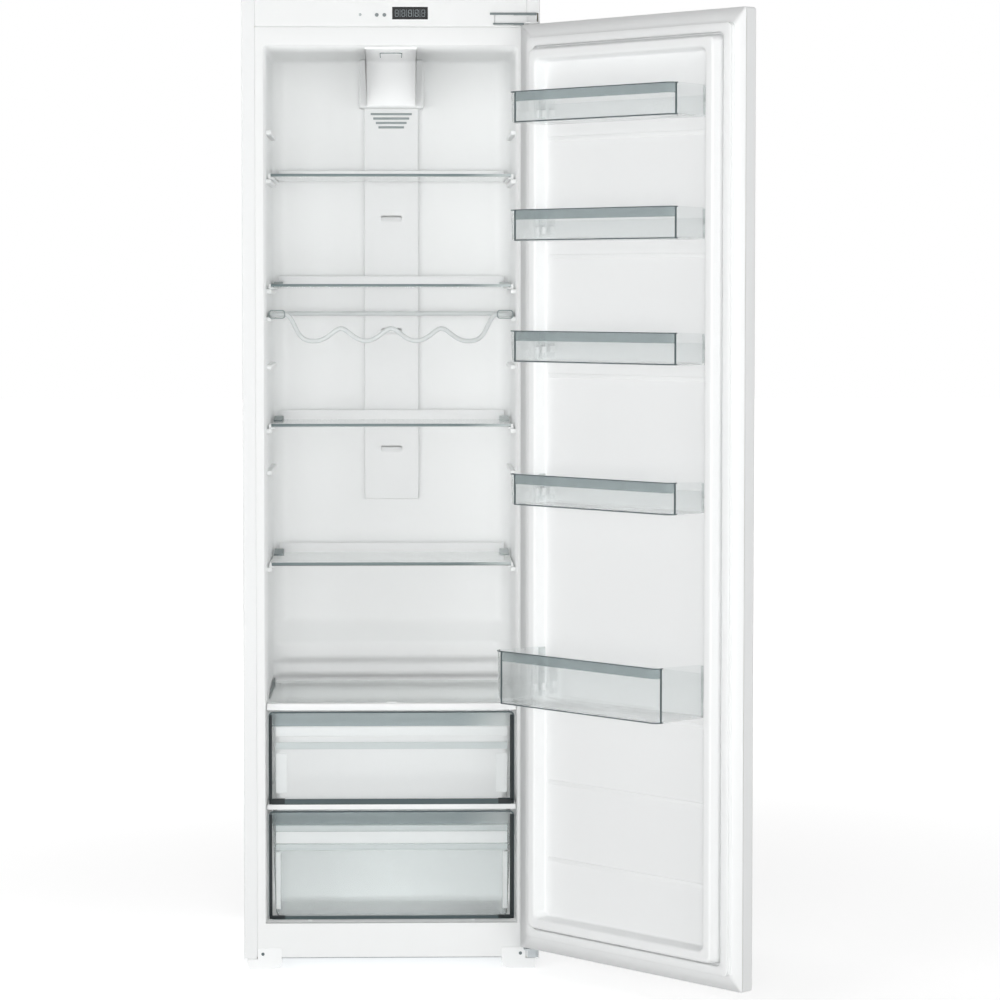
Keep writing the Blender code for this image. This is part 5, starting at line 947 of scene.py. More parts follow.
@dataclass
class Liner:
    """The moulded cavity liner: front frame, alcove with its step and gutter, and runner ribs.

    The step and the gutter are (depth, height, radius) corners of the back's side outline. The seam
    is the sealant's two edges, beyond the frame's.
    """

    half: float = 0.2304
    depth: float = 0.402
    floor: float = 0.062
    top: float = 1.666
    lip: float = 0.003
    lip_depth: float = 0.012
    corner: float = 0.035
    ceiling: float = 0.008
    step_top: float = 0.258
    step: tuple[Triple, ...] = (
        (0.100, 0.062, 0.0), (0.235, 0.062, 0.012), (0.245, 0.258, 0.012), (0.300, 0.258, 0.0))
    gutter: tuple[Triple, ...] = (
        (0.402, 0.4701, 0.010), (0.3849, 0.4779, 0.012), (0.3849, 0.5003, 0.014),
        (0.372, 0.5127, 0.014), (0.372, 0.5407, 0.020), (0.402, 0.5821, 0.030))
    frame_half: float = 0.2467
    frame_low: float = 0.0015
    frame_high: float = 1.6997
    frame_edge: float = 0.0015
    seam: Span = (-0.0001, 0.0008)
    seam_high: float = 1.7490
    seam_depths: Span = (0.0006, 0.0030)
    wall: float = 0.002
    rib_tops: tuple[float, ...] = (
        1.4289, 1.2258, 0.9672, 0.7096, 1.5184, 1.0854, 0.8897, 1.1747, 0.4528, 0.2688)
    rib_height: float = 0.008
    rib_reach: float = 0.009
    rib_depths: Span = (0.112, 0.357)
    floor_ribs: Span = (0.146, 0.154)
    floor_depths: Span = (0.040, 0.219)

    def _walls(self, path: Array, inset: Array, steps: int = 10) -> Surface:
        """The alcove's walls: a U-shaped plan outline at each height of the back's side outline.

        An outline runs along one side, round two back corners and along the other. A back corner's
        points are its arc's middle plus the radius times (cosine, sine) of angles from 180 to 90
        degrees on the left, mirrored on the right.

        Args:
            path: (depth, height) points of the back, from the foot up.
            inset: How far each row is drawn in.
            steps: How many parts each arc has.

        Returns:
            The open surface.
        """
        front = np.where(path[:, 1] < self.floor + self.lip, self.lip_depth + self.lip, self.wall * 0.75)
        half, radius = (self.half - inset)[:, None], self.corner - inset[:, None]
        arc = np.linspace(np.pi, np.pi / 2, steps + 1)[None]
        y = (path[:, 0] - inset)[:, None] - radius + radius * np.sin(arc)
        mouth = front[:, None]
        left = np.concatenate([-half, -half, -half + radius + radius * np.cos(arc)], 1)
        along = np.concatenate([mouth, (mouth + y[:, :1]) / 2, y], 1)
        x, depth = np.concatenate([left, -left[:, ::-1]], 1), np.concatenate([along, along[:, ::-1]], 1)
        return Surface(lying(np.stack([x, depth], -1), path[:, 1, None, None]))

    def alcove(self) -> bpy.types.Object:
        """The inside of the cavity as one smooth sheet with a wall behind it.

        Returns:
            The piece.
        """
        low = rounded_path(self.step)[1:-1]
        lower = self._walls(low, np.zeros(len(low)))
        lower.cap_first = True
        drop, inset = quarter(self.ceiling, 6)
        bend = np.stack([np.full(len(drop), self.depth), self.top - drop], -1)
        back = rounded_path([(self.depth, self.step_top, 0.0), *self.gutter, (self.depth, 1.0, 0.0)])
        upper = self._walls(np.concatenate([back, bend]), np.concatenate([np.zeros(len(back)), inset]))
        upper.cap_last = True
        shelf = Surface(np.stack([lower.points[-1, 2:-2], upper.points[0, 2:-2]]))
        return sheet("liner_alcove", [lower, shelf, upper], (0, FRONT, 1.0), self.wall * 0.9)

    def frame(self) -> list[Surface]:
        """The flat frame round the opening: a closed section of rings, rounded at both front edges.

        Returns:
            The surface.
        """
        level_out, grow = quarter(self.wall, 4)
        edge, level_in = quarter(self.frame_edge, 4)
        half, low, high = self.frame_half, self.frame_low, self.frame_high
        out = rounded_rings((-half + grow, low + grow), (half - grow, high - grow), 0.002, 6)
        low = self.floor + self.lip
        radii = np.array([[0.0006, 0.0006, self.ceiling, self.ceiling]]) + edge[:, None]
        inn = rounded_rings((-self.half - edge, low - edge), (self.half + edge, self.top + edge), radii, 6)
        levels = np.concatenate([level_out, level_in, [self.wall]])
        return [Surface(standing(np.concatenate([out, inn, inn[-1:]]), levels), True, True)]

    def seams(self) -> list[Surface]:
        """Sealant in the gaps round the frame, set back so that each gap shows as a fine line.

        Returns:
            The surfaces.
        """
        (near, far), half, high = self.seam_depths, self.frame_half, self.frame_high
        across = (half + self.seam[0], half + self.seam[1])
        return [bar((-half, near, high - 0.0001), (half, far, high + 0.0004), 0.0001),
                *pair(across, self.seam_depths, (0.003, self.seam_high), 0.0001)]

    def ribs(self) -> list[Surface]:
        """The runner ribs down both walls, the two floor ribs and the raised front lip.

        Returns:
            The surfaces.
        """
        across, top = (self.half - self.rib_reach, self.half + 0.001), self.floor + self.lip
        made = [rib for high in self.rib_tops
                for rib in pair(across, self.rib_depths, (high - self.rib_height, high), 0.0018)]
        made += pair(self.floor_ribs, self.floor_depths, (self.floor - 0.001, top), 0.0012)
        near, far, foot = self.wall * 0.6, self.lip_depth + self.lip, self.floor - 0.0015
        lip = rounded_path([(near, foot, 0), (near, top, 0.0012), (self.lip_depth, top, 0.0015),
                            (far, self.floor, 0.001), (far, foot, 0)], 4)
        return [*made, prism(lip, -self.half - 0.001, self.half + 0.001, 0.0)]

    def build(self, shop: Workshop) -> None:
        """Makes the liner's pieces in place of the CAD liner.

        Args:
            shop: The workshop that places the pieces.
        """
        slot, node = Slot.WHITE_PLASTIC, ["inner_liner"]
        # The alcove and ribs take the white painted lighter against the cavity's shade, the frame the white
        # painted darker against its light.
        shop.place(self.alcove(), Body.CABINET, slot, node, LINER_WHITE_LIFTED)
        shop.add("liner_frame", self.frame(), Body.CABINET, slot, node, FRAME_WHITE_DIMMED)
        shop.add("liner_ribs", self.ribs(), Body.CABINET, slot, node, LINER_WHITE_LIFTED)
        shop.add("frame_sealant", self.seams(), Body.CABINET, Slot.SEAL_RUBBER)


@dataclass
class ControlPanel:
    """What the fascia shows: strokes, a pilot lens, painted shade in the hinge's gaps, and the end plugs.

    The window is its left, low, right and high edges, the lens its X, height and radius, and a gap's
    shade its low, high and left edges. The plug is how far it reaches across, back and up.
    """

    window: tuple[float, float, float, float] = (0.003, 1.7136, 0.067, 1.7356)
    margin: float = 0.002
    cells: int = 5
    stroke: float = 0.0004
    stroke_depths: Span = (-0.0002, 0.0012)
    lens: Triple = (-0.0552, 1.7217, 0.0026)
    gaps: tuple[Triple, ...] = ((1.7216, 1.7256, 0.1795), (1.7042, 1.7070, 0.1850))
    gap_right: float = 0.2640
    deeper_shade_start: float = 0.2220
    plug: tuple[Span, Span, Span] = ((0.2472, 0.2686), (0.0012, 0.0276), (1.7300, 1.7506))

    def _stroke(self, x: float, z: float, wide: float, tall: float, radius: float = 0.0003) -> Surface:
        """A thin rounded bar on the window's front, about a middle, with half its width and height."""
        near, far = self.stroke_depths
        return bar((x - wide, near, z - tall), (x + wide, far, z + tall), radius, 2)

    def digits(self) -> list[Surface]:
        """All seven strokes in each cell, and thin lines between the cells.

        Returns:
            The surfaces.
        """
        left, low, right, high = self.window
        pitch, middle, thin = (right - left - 2 * self.margin) / self.cells, (low + high) / 2, self.stroke
        wide, tall = pitch * 0.23, (high - low) * 0.26
        made = []
        for cell in range(self.cells):
            x = left + self.margin + (cell + 0.5) * pitch
            made += [self._stroke(x, middle + level * tall, wide, thin) for level in (-1, 0, 1)]
            made += [self._stroke(x + side * wide, middle + level * tall / 2, thin, tall * 0.4)
                     for side in SIDES for level in SIDES]
        tall = (high - low) / 2 - 0.004
        return made + [self._stroke(left + self.margin + cell * pitch, middle, 0.0003, tall, 0.0002)
                       for cell in range(1, self.cells)]

    def pilot(self) -> list[Surface]:
        """The pilot lens, a low turned dome on the fascia.

        Returns:
            The surface.
        """
        x, z, radius = self.lens
        profile = [(0, 0.001), (radius, 0.001), (radius, -0.0002), (radius * 0.8, -0.0006), (0, -0.0008)]
        return [turned(profile, (x, deep(0), z), back=True, sides=24)]

    def hinge_gap_shades(self) -> list[Surface]:
        """Grey bars of painted shade in the gaps above and below the upper hinge's plate, darker at their
        right ends.

        Returns:
            The surfaces.
        """
        made = []
        for low, high, left in self.gaps:
            made.append(bar((left, -0.0035, low), (self.gap_right, -0.0003, high), 0.0007))
            made.append(bar((self.deeper_shade_start, -0.0038, low - 0.0006), (self.gap_right, -0.0003, high), 0.0009))
        return made

    def build(self, shop: Workshop) -> None:
        """Makes the fascia's pieces.

        Args:
            shop: The workshop that places the pieces.
        """
        body, plugs = Body.CABINET, pair(*self.plug, 0.0012)
        shop.add("display_digits", self.digits(), body, Slot.DISPLAY_GLASS, (), DIGIT_GREY, FIRM)
        shop.add("pilot_lens", self.pilot(), body, Slot.SMOKED_PLASTIC, (), LENS_GREY, ROUND)
        # Grey bars of painted shade in the hinge's gaps.
        shop.add("hinge_gap_shades", self.hinge_gap_shades(), body, Slot.ZINC_STEEL, (), GAP_SHADE_GREY, FIRM)
        # The plugs take the front's white, painted darker against its light.
        shop.add("corner_plugs", plugs, body, Slot.WHITE_PLASTIC, (), FRAME_WHITE_DIMMED, FIRM)


@dataclass
class AirDuct:
    """The lamp's cover with its ceiling panel, and what closes the duct's openings and slits; the
    strips behind the slits are grey with painted shade.

    The blade is (depth, height, radius) corners about its opening's height, and a slit its height
    and half its width.
    """

    half: float = 0.0475
    foot: float = 1.5757
    head: float = 1.6637
    face: float = 0.3479
    back: float = 0.3554
    start: float = 0.036
    latch_half: float = 0.0200
    latch_depths: Span = (0.130, 0.248)
    openings: tuple[float, ...] = (1.3620, 1.1447, 0.9169)
    blade: tuple[Triple, ...] = ((0.3890, -0.0062, 0), (0.3905, -0.0062, 0.0004), (0.3940, 0.0032, 0.0004),
                                 (0.3925, 0.0032, 0.0004), (0.3890, -0.0062, 0))
    blade_half: float = 0.0203
    slits: tuple[Span, ...] = ((1.5633, 0.040), (1.5548, 0.035), (1.5463, 0.030), (1.5378, 0.025))
    slit_depths: Span = (0.3886, 0.3896)

    def cover(self) -> list[Surface]:
        """The lamp's cover: a side outline that runs under the ceiling and curves down the front.

        Returns:
            The surface.
        """
        high, under = self.head + 0.0018, self.head - 0.0012
        section = rounded_path([
            (self.start, high, 0), (self.start, under, 0.001), (self.face, under, 0.006),
            (self.face, self.foot, 0.003), (self.back, self.foot, 0.001), (self.back, high, 0)])
        return [prism(section, -self.half, self.half, 0.0018)]

    def latch(self) -> list[Surface]:
        """The latch's raised edge under the ceiling: a strip bent round three sides, painted grey as the
        shade line along the edge.

        Returns:
            The surface.
        """
        half, (near, far) = self.latch_half, self.latch_depths
        path = rounded_path([(-half, far, 0), (-half, near, 0.006), (half, near, 0.006), (half, far, 0)])
        line = np.stack([path[:, 0], deep(path[:, 1]), np.full(len(path), self.head - 0.0016)], -1)
        return [carried(line, rounded_rings((-0.0008, -0.0010), (0.0008, 0.0010), 0.0004, 3)[0])]

    def louvres(self) -> list[Surface]:
        """A sloped blade in each opening, which leaves a dark gap along its top.

        Returns:
            The surfaces.
        """
        section = rounded_path(self.blade, 3)[:-1]
        return [prism(section + np.array([0.0, height]), -self.blade_half, self.blade_half, 0.0003)
                for height in self.openings]

    def filter(self) -> list[Surface]:
        """A grey strip behind each slit of the grille: painted shade where the slit looks dark.

        Returns:
            The surfaces.
        """
        near, far = self.slit_depths
        return [bar((-half + SEAT, near, z - 0.0021), (half - SEAT, far, z + 0.0021), 0.0004)
                for z, half in self.slits]

    def build(self, shop: Workshop) -> None:
        """Makes the duct's smooth pieces.

        Args:
            shop: The workshop that places the pieces.
        """
        shop.add("lamp_shade", self.cover(), Body.CABINET, Slot.LAMP_PLASTIC, ["lamp_cover"])
        # The latch is lamp plastic painted grey: painted shade along its raised edge.
        shop.add("lamp_latch", self.latch(), Body.CABINET, Slot.LAMP_PLASTIC, (), GREY_PARTS_AND_SHADE)
        shop.add("duct_louvres", self.louvres(), Body.CABINET, Slot.WHITE_PLASTIC)
        # Grey strips of painted shade behind the slits.
        shop.add("grille_slit_shade", self.filter(), Body.CABINET, Slot.DARK_TRIM, (), SLIT_SHADE_GREY, FIRM)


@dataclass
class CrisperCover:
    """The dark upright edges of the drawers' cover, along both walls."""

    top: float = 0.4653
    depths: Triple = (0.122, 0.366, 0.372)
    rises: Span = (0.0012, 0.0075)
    across: Span = (0.2259, 0.2282)

    def build(self, shop: Workshop) -> None:
        """Makes the edges: a side outline that rises towards the back.

        Args:
            shop: The workshop that places the pieces.
        """
        (near, bend, far), foot, low, high = self.depths, self.top, *(self.top + rise for rise in self.rises)
        section = rounded_path([(near, foot, 0), (far, foot, 0.0003), (far, high, 0.0010),
                                (bend, high, 0.0010), (near, low, 0)], 3)
        made = [prism(section, left, right, 0.0005) for left, right in mirrored(self.across)]
        shop.add("crisper_side_edges", made, Body.CABINET, Slot.DARK_TRIM, (), GREY_PARTS_AND_SHADE)


@dataclass
class FootScrews:
    """The screw in each front foot: a low domed head with a dark drive recess."""

    across: float = 0.236
    front: float = -0.0025
    height: float = 0.009
    radius: float = 0.0030

    def build(self, shop: Workshop) -> None:
        """Makes the heads, as turned profiles.

        Args:
            shop: The workshop that places the pieces.
        """
        r = self.radius
        profile = [(0, 0.0018), (r, 0.0018), (r, -0.0002), (r * 0.85, -0.0006), (r * 0.5, -0.0007),
                   (r * 0.42, 0.0004), (0, 0.0004)]
        made = [turned(profile, (side * self.across, deep(self.front), self.height), back=True, sides=24)
                for side in SIDES]
        shop.add("foot_screws", made, Body.CABINET, Slot.ZINC_STEEL, (), GREY_PARTS_AND_SHADE)


# ---------------------------------------------------------------- fittings


@dataclass
class Shelf:
    """What carries a glass shelf: a dark front edge and rear clips, white caps, rails and a rear lip."""

    number: int
    top: float
    half: float = 0.226
    near: float = 0.105
    far: float = 0.380
    glass: float = 0.004
    under: float = 0.003
    rail: float = 0.010
    lip_half: float = 0.2175
    lip_rise: float = 0.0177
    edge_half: float = 0.2225
    clip: Span = (0.2085, 0.2258)
    clip_long: float = 0.070
    clip_rise: float = 0.0066
    cap: Span = (0.2220, 0.2262)

    def rim(self) -> list[Surface]:
        """The white rails under the glass, and the raised rear lip.

        Returns:
            The surfaces.
        """
        high, far, half = self.top - self.glass - SEAT, self.far, self.lip_half
        lip = bar((-half, far - 0.004, high), (half, far, self.top + self.lip_rise), 0.0012)
        depths = (self.near + 0.004, far - 0.001)
        return [lip, *pair((self.half - self.rail, self.half), depths, (high - self.under, high), 0.001)]

    def edge(self) -> list[Surface]:
        """The dark front edge, and the two dark clips that rise towards the back corners.

        Returns:
            The surfaces.
        """
        top, half, rear = self.top, self.edge_half, self.far - 0.005
        front, high, foot = rear - self.clip_long, top + self.clip_rise, top + SEAT
        section = rounded_path([(front, foot, 0), (rear, foot, 0.0003), (rear, high, 0.002),
                                (rear - 0.010, high, 0.003), (front, top + 0.0014, 0)], 4)
        return [bar((-half, self.near, top - 0.0028), (half, self.near + 0.004, top + 0.0020), 0.0009),
                *(prism(section, left, right, 0.0008) for left, right in mirrored(self.clip))]

    def caps(self) -> list[Surface]:
        """The white caps on the front corners.

        Returns:
            The surfaces.
        """
        depths, heights = (self.near - 0.0014, self.near + 0.006), (self.top - 0.0062, self.top + 0.0024)
        return pair(self.cap, depths, heights, 0.0016, 4)

    def build(self, shop: Workshop) -> None:
        """Makes the shelf's frame in place of the CAD one.

        Args:
            shop: The workshop that places the pieces.
        """
        number = self.number
        body, node = f"shelf_{number}", [f"shelf_frame_{number}"]
        shop.add(f"shelf_rim_{number}", self.rim(), body, Slot.WHITE_PLASTIC, node, sharp=FIRM)
        # The edge's finish pales towards the right: a painted highlight.
        shop.add(f"shelf_edge_{number}", self.edge(), body, Slot.DARK_TRIM, node, SHELF_EDGE_HIGHLIT, FIRM)
        shop.add(f"shelf_caps_{number}", self.caps(), body, Slot.WHITE_PLASTIC, node, sharp=FIRM)


@dataclass
class BottleRack:
    """One closed wire: waved in front, carried back along both sides, straight behind."""

    height: float = 1.1790
    half: float = 0.222
    front: float = 0.109
    back: float = 0.350
    corner: float = 0.020
    wire: float = 0.0043
    shoulder: float = 0.186
    trough: float = 0.049
    peak: float = 0.024
    ease: float = 0.05
    climb: float = 3.6
    smooth: int = 9
    # The loops paint the shade round the wire's front corners.
    shade_loop: Span = (0.1955, 0.2262)
    shade_loop_drop: float = 0.0075
    shade_loop_rise: float = 0.0085
    shade_loop_bands: Triple = (0.0022, 0.0018, 0.0018)
    shade_loop_depths: Span = (0.1000, 0.1040)

    def drop(self, across: Array) -> Array:
        """How far the wire hangs below its shoulders.

        Between the outer troughs it is the peak's drop plus the difference times the size of a sine
        whose half wave is the pitch, eased at its peaks; outside them it climbs by a power of the
        share of the way. A moving mean of nine points rounds the shoulders.

        Args:
            across: X of the points.

        Returns:
            The drops, zero or less.
        """
        pitch = self.shoulder / 2
        last, reach, soft = self.shoulder - pitch / 2, np.abs(across), math.sqrt(self.ease)
        size = np.sqrt(np.sin(np.pi * reach / pitch) ** 2 + self.ease) - soft
        wave = -self.peak - (self.trough - self.peak) * size / (math.sqrt(1 + self.ease) - soft)
        share = np.clip((reach - last) / (self.shoulder - last), 0, 1)
        drop = np.where(reach <= last, wave, -self.trough * (1 - share ** self.climb))
        return np.convolve(np.pad(drop, self.smooth // 2), np.full(self.smooth, 1 / self.smooth), "valid")

    def guides(self) -> list[Surface]:
        """A small grey loop at each wall, round the wire's front corner: painted shade where the bend looks
        dark.

        Returns:
            The surfaces.
        """
        low, high = self.height - self.shade_loop_drop, self.height + self.shade_loop_rise
        return [frame_ring((left, low), (right, high), self.shade_loop_bands, self.shade_loop_depths, 0.0055)
                for left, right in mirrored(self.shade_loop)]

    def build(self, shop: Workshop) -> None:
        """Makes the rack in place of the CAD one.

        Args:
            shop: The workshop that places the pieces.
        """
        inner, half, front, back = self.half - self.corner, self.half, self.front, self.back
        across = np.linspace(-inner, inner, 200)
        waved = np.stack([across, np.full(len(across), deep(front)), self.height + self.drop(across)], -1)
        rest = rounded_path([
            (inner, front, 0), (half, front, self.corner), (half, back, self.corner),
            (-half, back, self.corner), (-half, front, self.corner), (-inner, front, 0)], 8)[2:-2]
        level = np.stack([rest[:, 0], deep(rest[:, 1]), np.full(len(rest), self.height)], -1)
        wire = carried(np.concatenate([waved, level]), circle(self.wire, 14), closed=True)
        shop.add("bottle_rack_wire", [wire], Body.RACK, Slot.WHITE_WIRE, ["wine_rack"], sharp=60.0)
        # Grey loops of painted shade.
        shop.add("rack_shade_loops", self.guides(), Body.RACK, Slot.WHITE_WIRE, (), LOOP_SHADE_GREY)


@dataclass
class Drawer:
    """A clear drafted bin, open on top, with a dark-edged front and strips moulded across it; the
    front's end edges are darkened with painted shade.

    The posts are the widths of the left upright and the right one, a strip its low and high edges
    and whether it is grey painted shade, and the columns their low and high ends and their inner X.
    """

    node: str
    body: Body
    floor: float
    top: float
    back: float
    half: float = 0.219
    front: float = 0.0403
    draft: float = 0.006
    radius: float = 0.016
    wall: float = 0.0022
    foot: float = 0.010
    face: float = 0.036
    face_half: float = 0.226
    band: float = 0.0268
    sill: float = 0.0062
    posts: Span = (0.0062, 0.0082)
    post_foot: float = 0.030
    strips: tuple[tuple[float, float, bool], ...] = ()
    columns: Triple = (0.300, 0.373, 0.192)
    haze: Finish = MILKY

    def _rings(self, grow: float) -> Array:
        """The bin's rings from the foot up: a rounded foot, then the drafted walls.

        The plan at height h is drawn in by the draft times (1 - h)^2, plus the foot's arc.

        Args:
            grow: How far the rings lie inside the bin's outside, and above its underside.

        Returns:
            Points of shape (rows, columns, 3).
        """
        arc_in, arc_up = quarter(self.foot, 4)
        round_in = np.concatenate([arc_in, np.zeros(6)])
        rise = np.concatenate([arc_up, np.linspace(self.foot, self.top - self.floor - grow, 7)[1:]])
        inset = round_in + self.draft * (1 - rise / rise[-1]) ** 2 + grow
        radii = np.maximum(self.radius - round_in - grow, 0.002)[:, None]
        rings = rounded_rings((-self.half + inset, self.front + grow + round_in),
                              (self.half - inset, self.back - inset), radii)
        return lying(rings, (self.floor + grow + rise)[:, None, None])

    def uprights(self) -> list[Surface]:
        """The uprights at both ends, with short feet turned in along the sill: dark trim made near black with
        painted shade, the darkness that refraction gives the front's end edges.

        Returns:
            The surfaces.
        """
        depths, outer, made = (self.face - 0.0002, self.face + 0.0039), self.face_half - 0.0005, []
        upright = (self.floor + 0.006, self.top - 0.006)
        foot = (self.floor + 0.0006, self.floor + self.sill + 0.0012)
        for side, wide in enumerate(self.posts):
            for reach, heights in ((wide, upright), (self.post_foot, foot)):
                made.append(pair((self.face_half - reach, outer), depths, heights, 0.0012)[side])
        return made

    def grip(self) -> list[Surface]:
        """The smoked band across the top of the front.

        Returns:
            The surface.
        """
        half, radii = self.face_half - 0.0034, np.array([[0.001, 0.001, 0.0045, 0.0045]])
        outline = rounded_rings((-half, self.top - self.band), (half, self.top - 0.0026), radii)[0]
        return [prism(outline, self.face + 0.0004, self.face + 0.0037, 0.0005, backward=True)]

    def bands(self, grey: bool) -> list[Surface]:
        """Strips moulded across the front; the grey ones are painted shade.

        Args:
            grey: Whether to make the grey strips of painted shade or the white ones.

        Returns:
            The surfaces.
        """
        near, far, half = self.face + 0.0012, self.front - SEAT, self.half - 0.006
        return [bar((-half, near, low), (half, far, high), 0.0012)
                for low, high, dark in self.strips if dark == grey]

    def ends(self) -> list[Surface]:
        """A white column at either end of the strips.

        Returns:
            The surfaces.
        """
        low, high, inner = self.columns
        return pair((self.half - 0.006, inner), (self.face + 0.0012, self.front - SEAT), (low, high), 0.0013)

    def build(self, shop: Workshop) -> None:
        """Makes the bin and its front in place of the CAD ones.

        Args:
            shop: The workshop that places the pieces.
        """
        name, body, frame, half = self.node, self.body, [f"{self.node}_frame"], self.face_half
        rings = np.concatenate([self._rings(0.0), self._rings(self.wall)[::-1]])
        walls = Surface(rings, True, False, True, True)
        rim = frame_ring((-half, self.floor), (half, self.top), (0.0030, self.sill, 0.0024),
                         (self.face, self.face + 0.004), 0.008)
        shop.add(f"{name}_bin", [walls], body, Slot.CLEAR_PLASTIC, [name], self.haze)
        shop.add(f"{name}_rim", [rim], body, Slot.DARK_TRIM, frame, DARK_TRIM_AND_EDGE_SHADE)
        # The uprights are dark trim darkened further with painted shade.
        shop.add(f"{name}_posts", self.uprights(), body, Slot.DARK_TRIM, frame, TRIM_AND_SHADE_BLACK, FIRM)
        # The grip's finish pales towards its ends: a painted highlight.
        shop.add(f"{name}_grip", self.grip(), body, Slot.SMOKED_PLASTIC, frame, DRAWER_BAND_HIGHLIT)
        # The grey strips are painted shade.
        shop.add(f"{name}_rails", self.bands(True), body, Slot.CLEAR_PLASTIC, (), SHADE_GREY_RAIL, FIRM)
        shop.add(f"{name}_ribs", self.bands(False) + self.ends(), body, Slot.CLEAR_PLASTIC, (), FROSTED, FIRM)


# ---------------------------------------------------------------- door


def door_rings(inset: Array, levels: Array, radii: float | Array) -> Array:
    """Rounded rectangles parallel to the door's outline, swung open with it.

    Args:
        inset: How far each one lies inside the door's outline.
        levels: How far each one stands off the door's inner plane.
        radii: The radius of its corners.

    Returns:
        Points of shape (rows, columns, 3).
    """
    low, high = (-DOOR_HALF + inset, DOOR_LOW + inset), (DOOR_HALF - inset, DOOR_HIGH - inset)
    return swing(standing(rounded_rings(low, high, radii), DOOR_PLANE + levels))


@dataclass
class DoorInside:
    """The door's moulded inner face: flange, ridge and recessed panel with its beads.

    The section is (inset, level, radius) corners from the door's edge inward.
    """

    section: tuple[Triple, ...] = (
        (0.0003, 0.0, 0.0), (0.044, 0.0, 0.003), (0.048, 0.030, 0.0045), (0.0655, 0.030, 0.0045),
        (0.0695, 0.0045, 0.004), (0.080, 0.0045, 0.0))
    wall: float = 0.0015
    panel: float = 0.0045
    beads: tuple[float, ...] = (1.494, 1.284, 1.072, 0.475, 0.339, 0.199)
    bead_half: float = 0.192
    stud: Span = (0.1915, 0.2025)
    stud_rise: float = 0.014
    stud_height: float = 0.012
    stud_depth: float = 0.008

    def moulding(self) -> bpy.types.Object:
        """The ridge and panel: a section carried round the door as parallel rounded rectangles.

        Returns:
            The piece.
        """
        inset, level = rounded_path(self.section).T
        rings = door_rings(inset, level, np.clip(inset, 0.004, 0.012)[:, None])
        seen = swing(np.array([0.0, 1.0, 0.9]))
        return sheet("door_moulding", [Surface(rings, True, False, False, True)], seen, self.wall)

    def bars(self) -> list[Surface]:
        """Low beads across the panel, and the studs that the balconies hook over.

        Returns:
            The surfaces.
        """
        face, half = DOOR_PLANE + self.panel, self.bead_half
        made = [bar((-half, face - 0.003, z - 0.004), (half, face + 0.0012, z + 0.004), 0.0011)
                for z in self.beads]
        for share in BALCONY_SHARES:
            low = DOOR_LOW + share * (DOOR_HIGH - DOOR_LOW) + self.stud_rise
            made += pair(self.stud, (0, self.stud_depth), (low, low + self.stud_height), 0.0012)
        return swung(made)

    def build(self, shop: Workshop) -> None:
        """Makes the door's inner face in place of the CAD one.

        Args:
            shop: The workshop that places the pieces.
        """
        shop.place(self.moulding(), Body.DOOR, Slot.WHITE_PLASTIC, ["door_liner"])
        shop.add("door_beads", self.bars(), Body.DOOR, Slot.WHITE_PLASTIC, ["door_liner"])


@dataclass
class DoorSeal:
    """The magnetic seal: a bellows section carried round the door."""

    inset: float = 0.0245
    width: float = 0.016
    height: float = 0.0114
    fold: float = 0.0022
    fold_start: float = 0.18
    fold_long: float = 0.5
    dome: float = 0.0012
    dome_start: float = 0.86
    radius: float = 0.010

    def build(self, shop: Workshop) -> None:
        """Makes the seal: its sides fold in by a raised cosine of the height, and its top is domed.

        Args:
            shop: The workshop that places the pieces.
        """
        share = np.linspace(0, 1, 15)
        wave = np.cos(math.tau * np.clip((share - self.fold_start) / self.fold_long, 0, 1))
        folded = self.fold * (0.5 - 0.5 * wave)
        folded += self.dome * np.clip((share - self.dome_start) / (1 - self.dome_start), 0, 1) ** 2
        inset = np.concatenate([self.inset + folded, (self.inset + self.width - folded)[::-1]])
        level = np.concatenate([share, share[::-1]]) * self.height + SEAT
        rings = door_rings(inset, level, self.radius)
        shop.add("door_seal", [Surface(rings, True, True)], Body.DOOR, Slot.SEAL_RUBBER, ["door_gasket"],
                 sharp=ROUND)


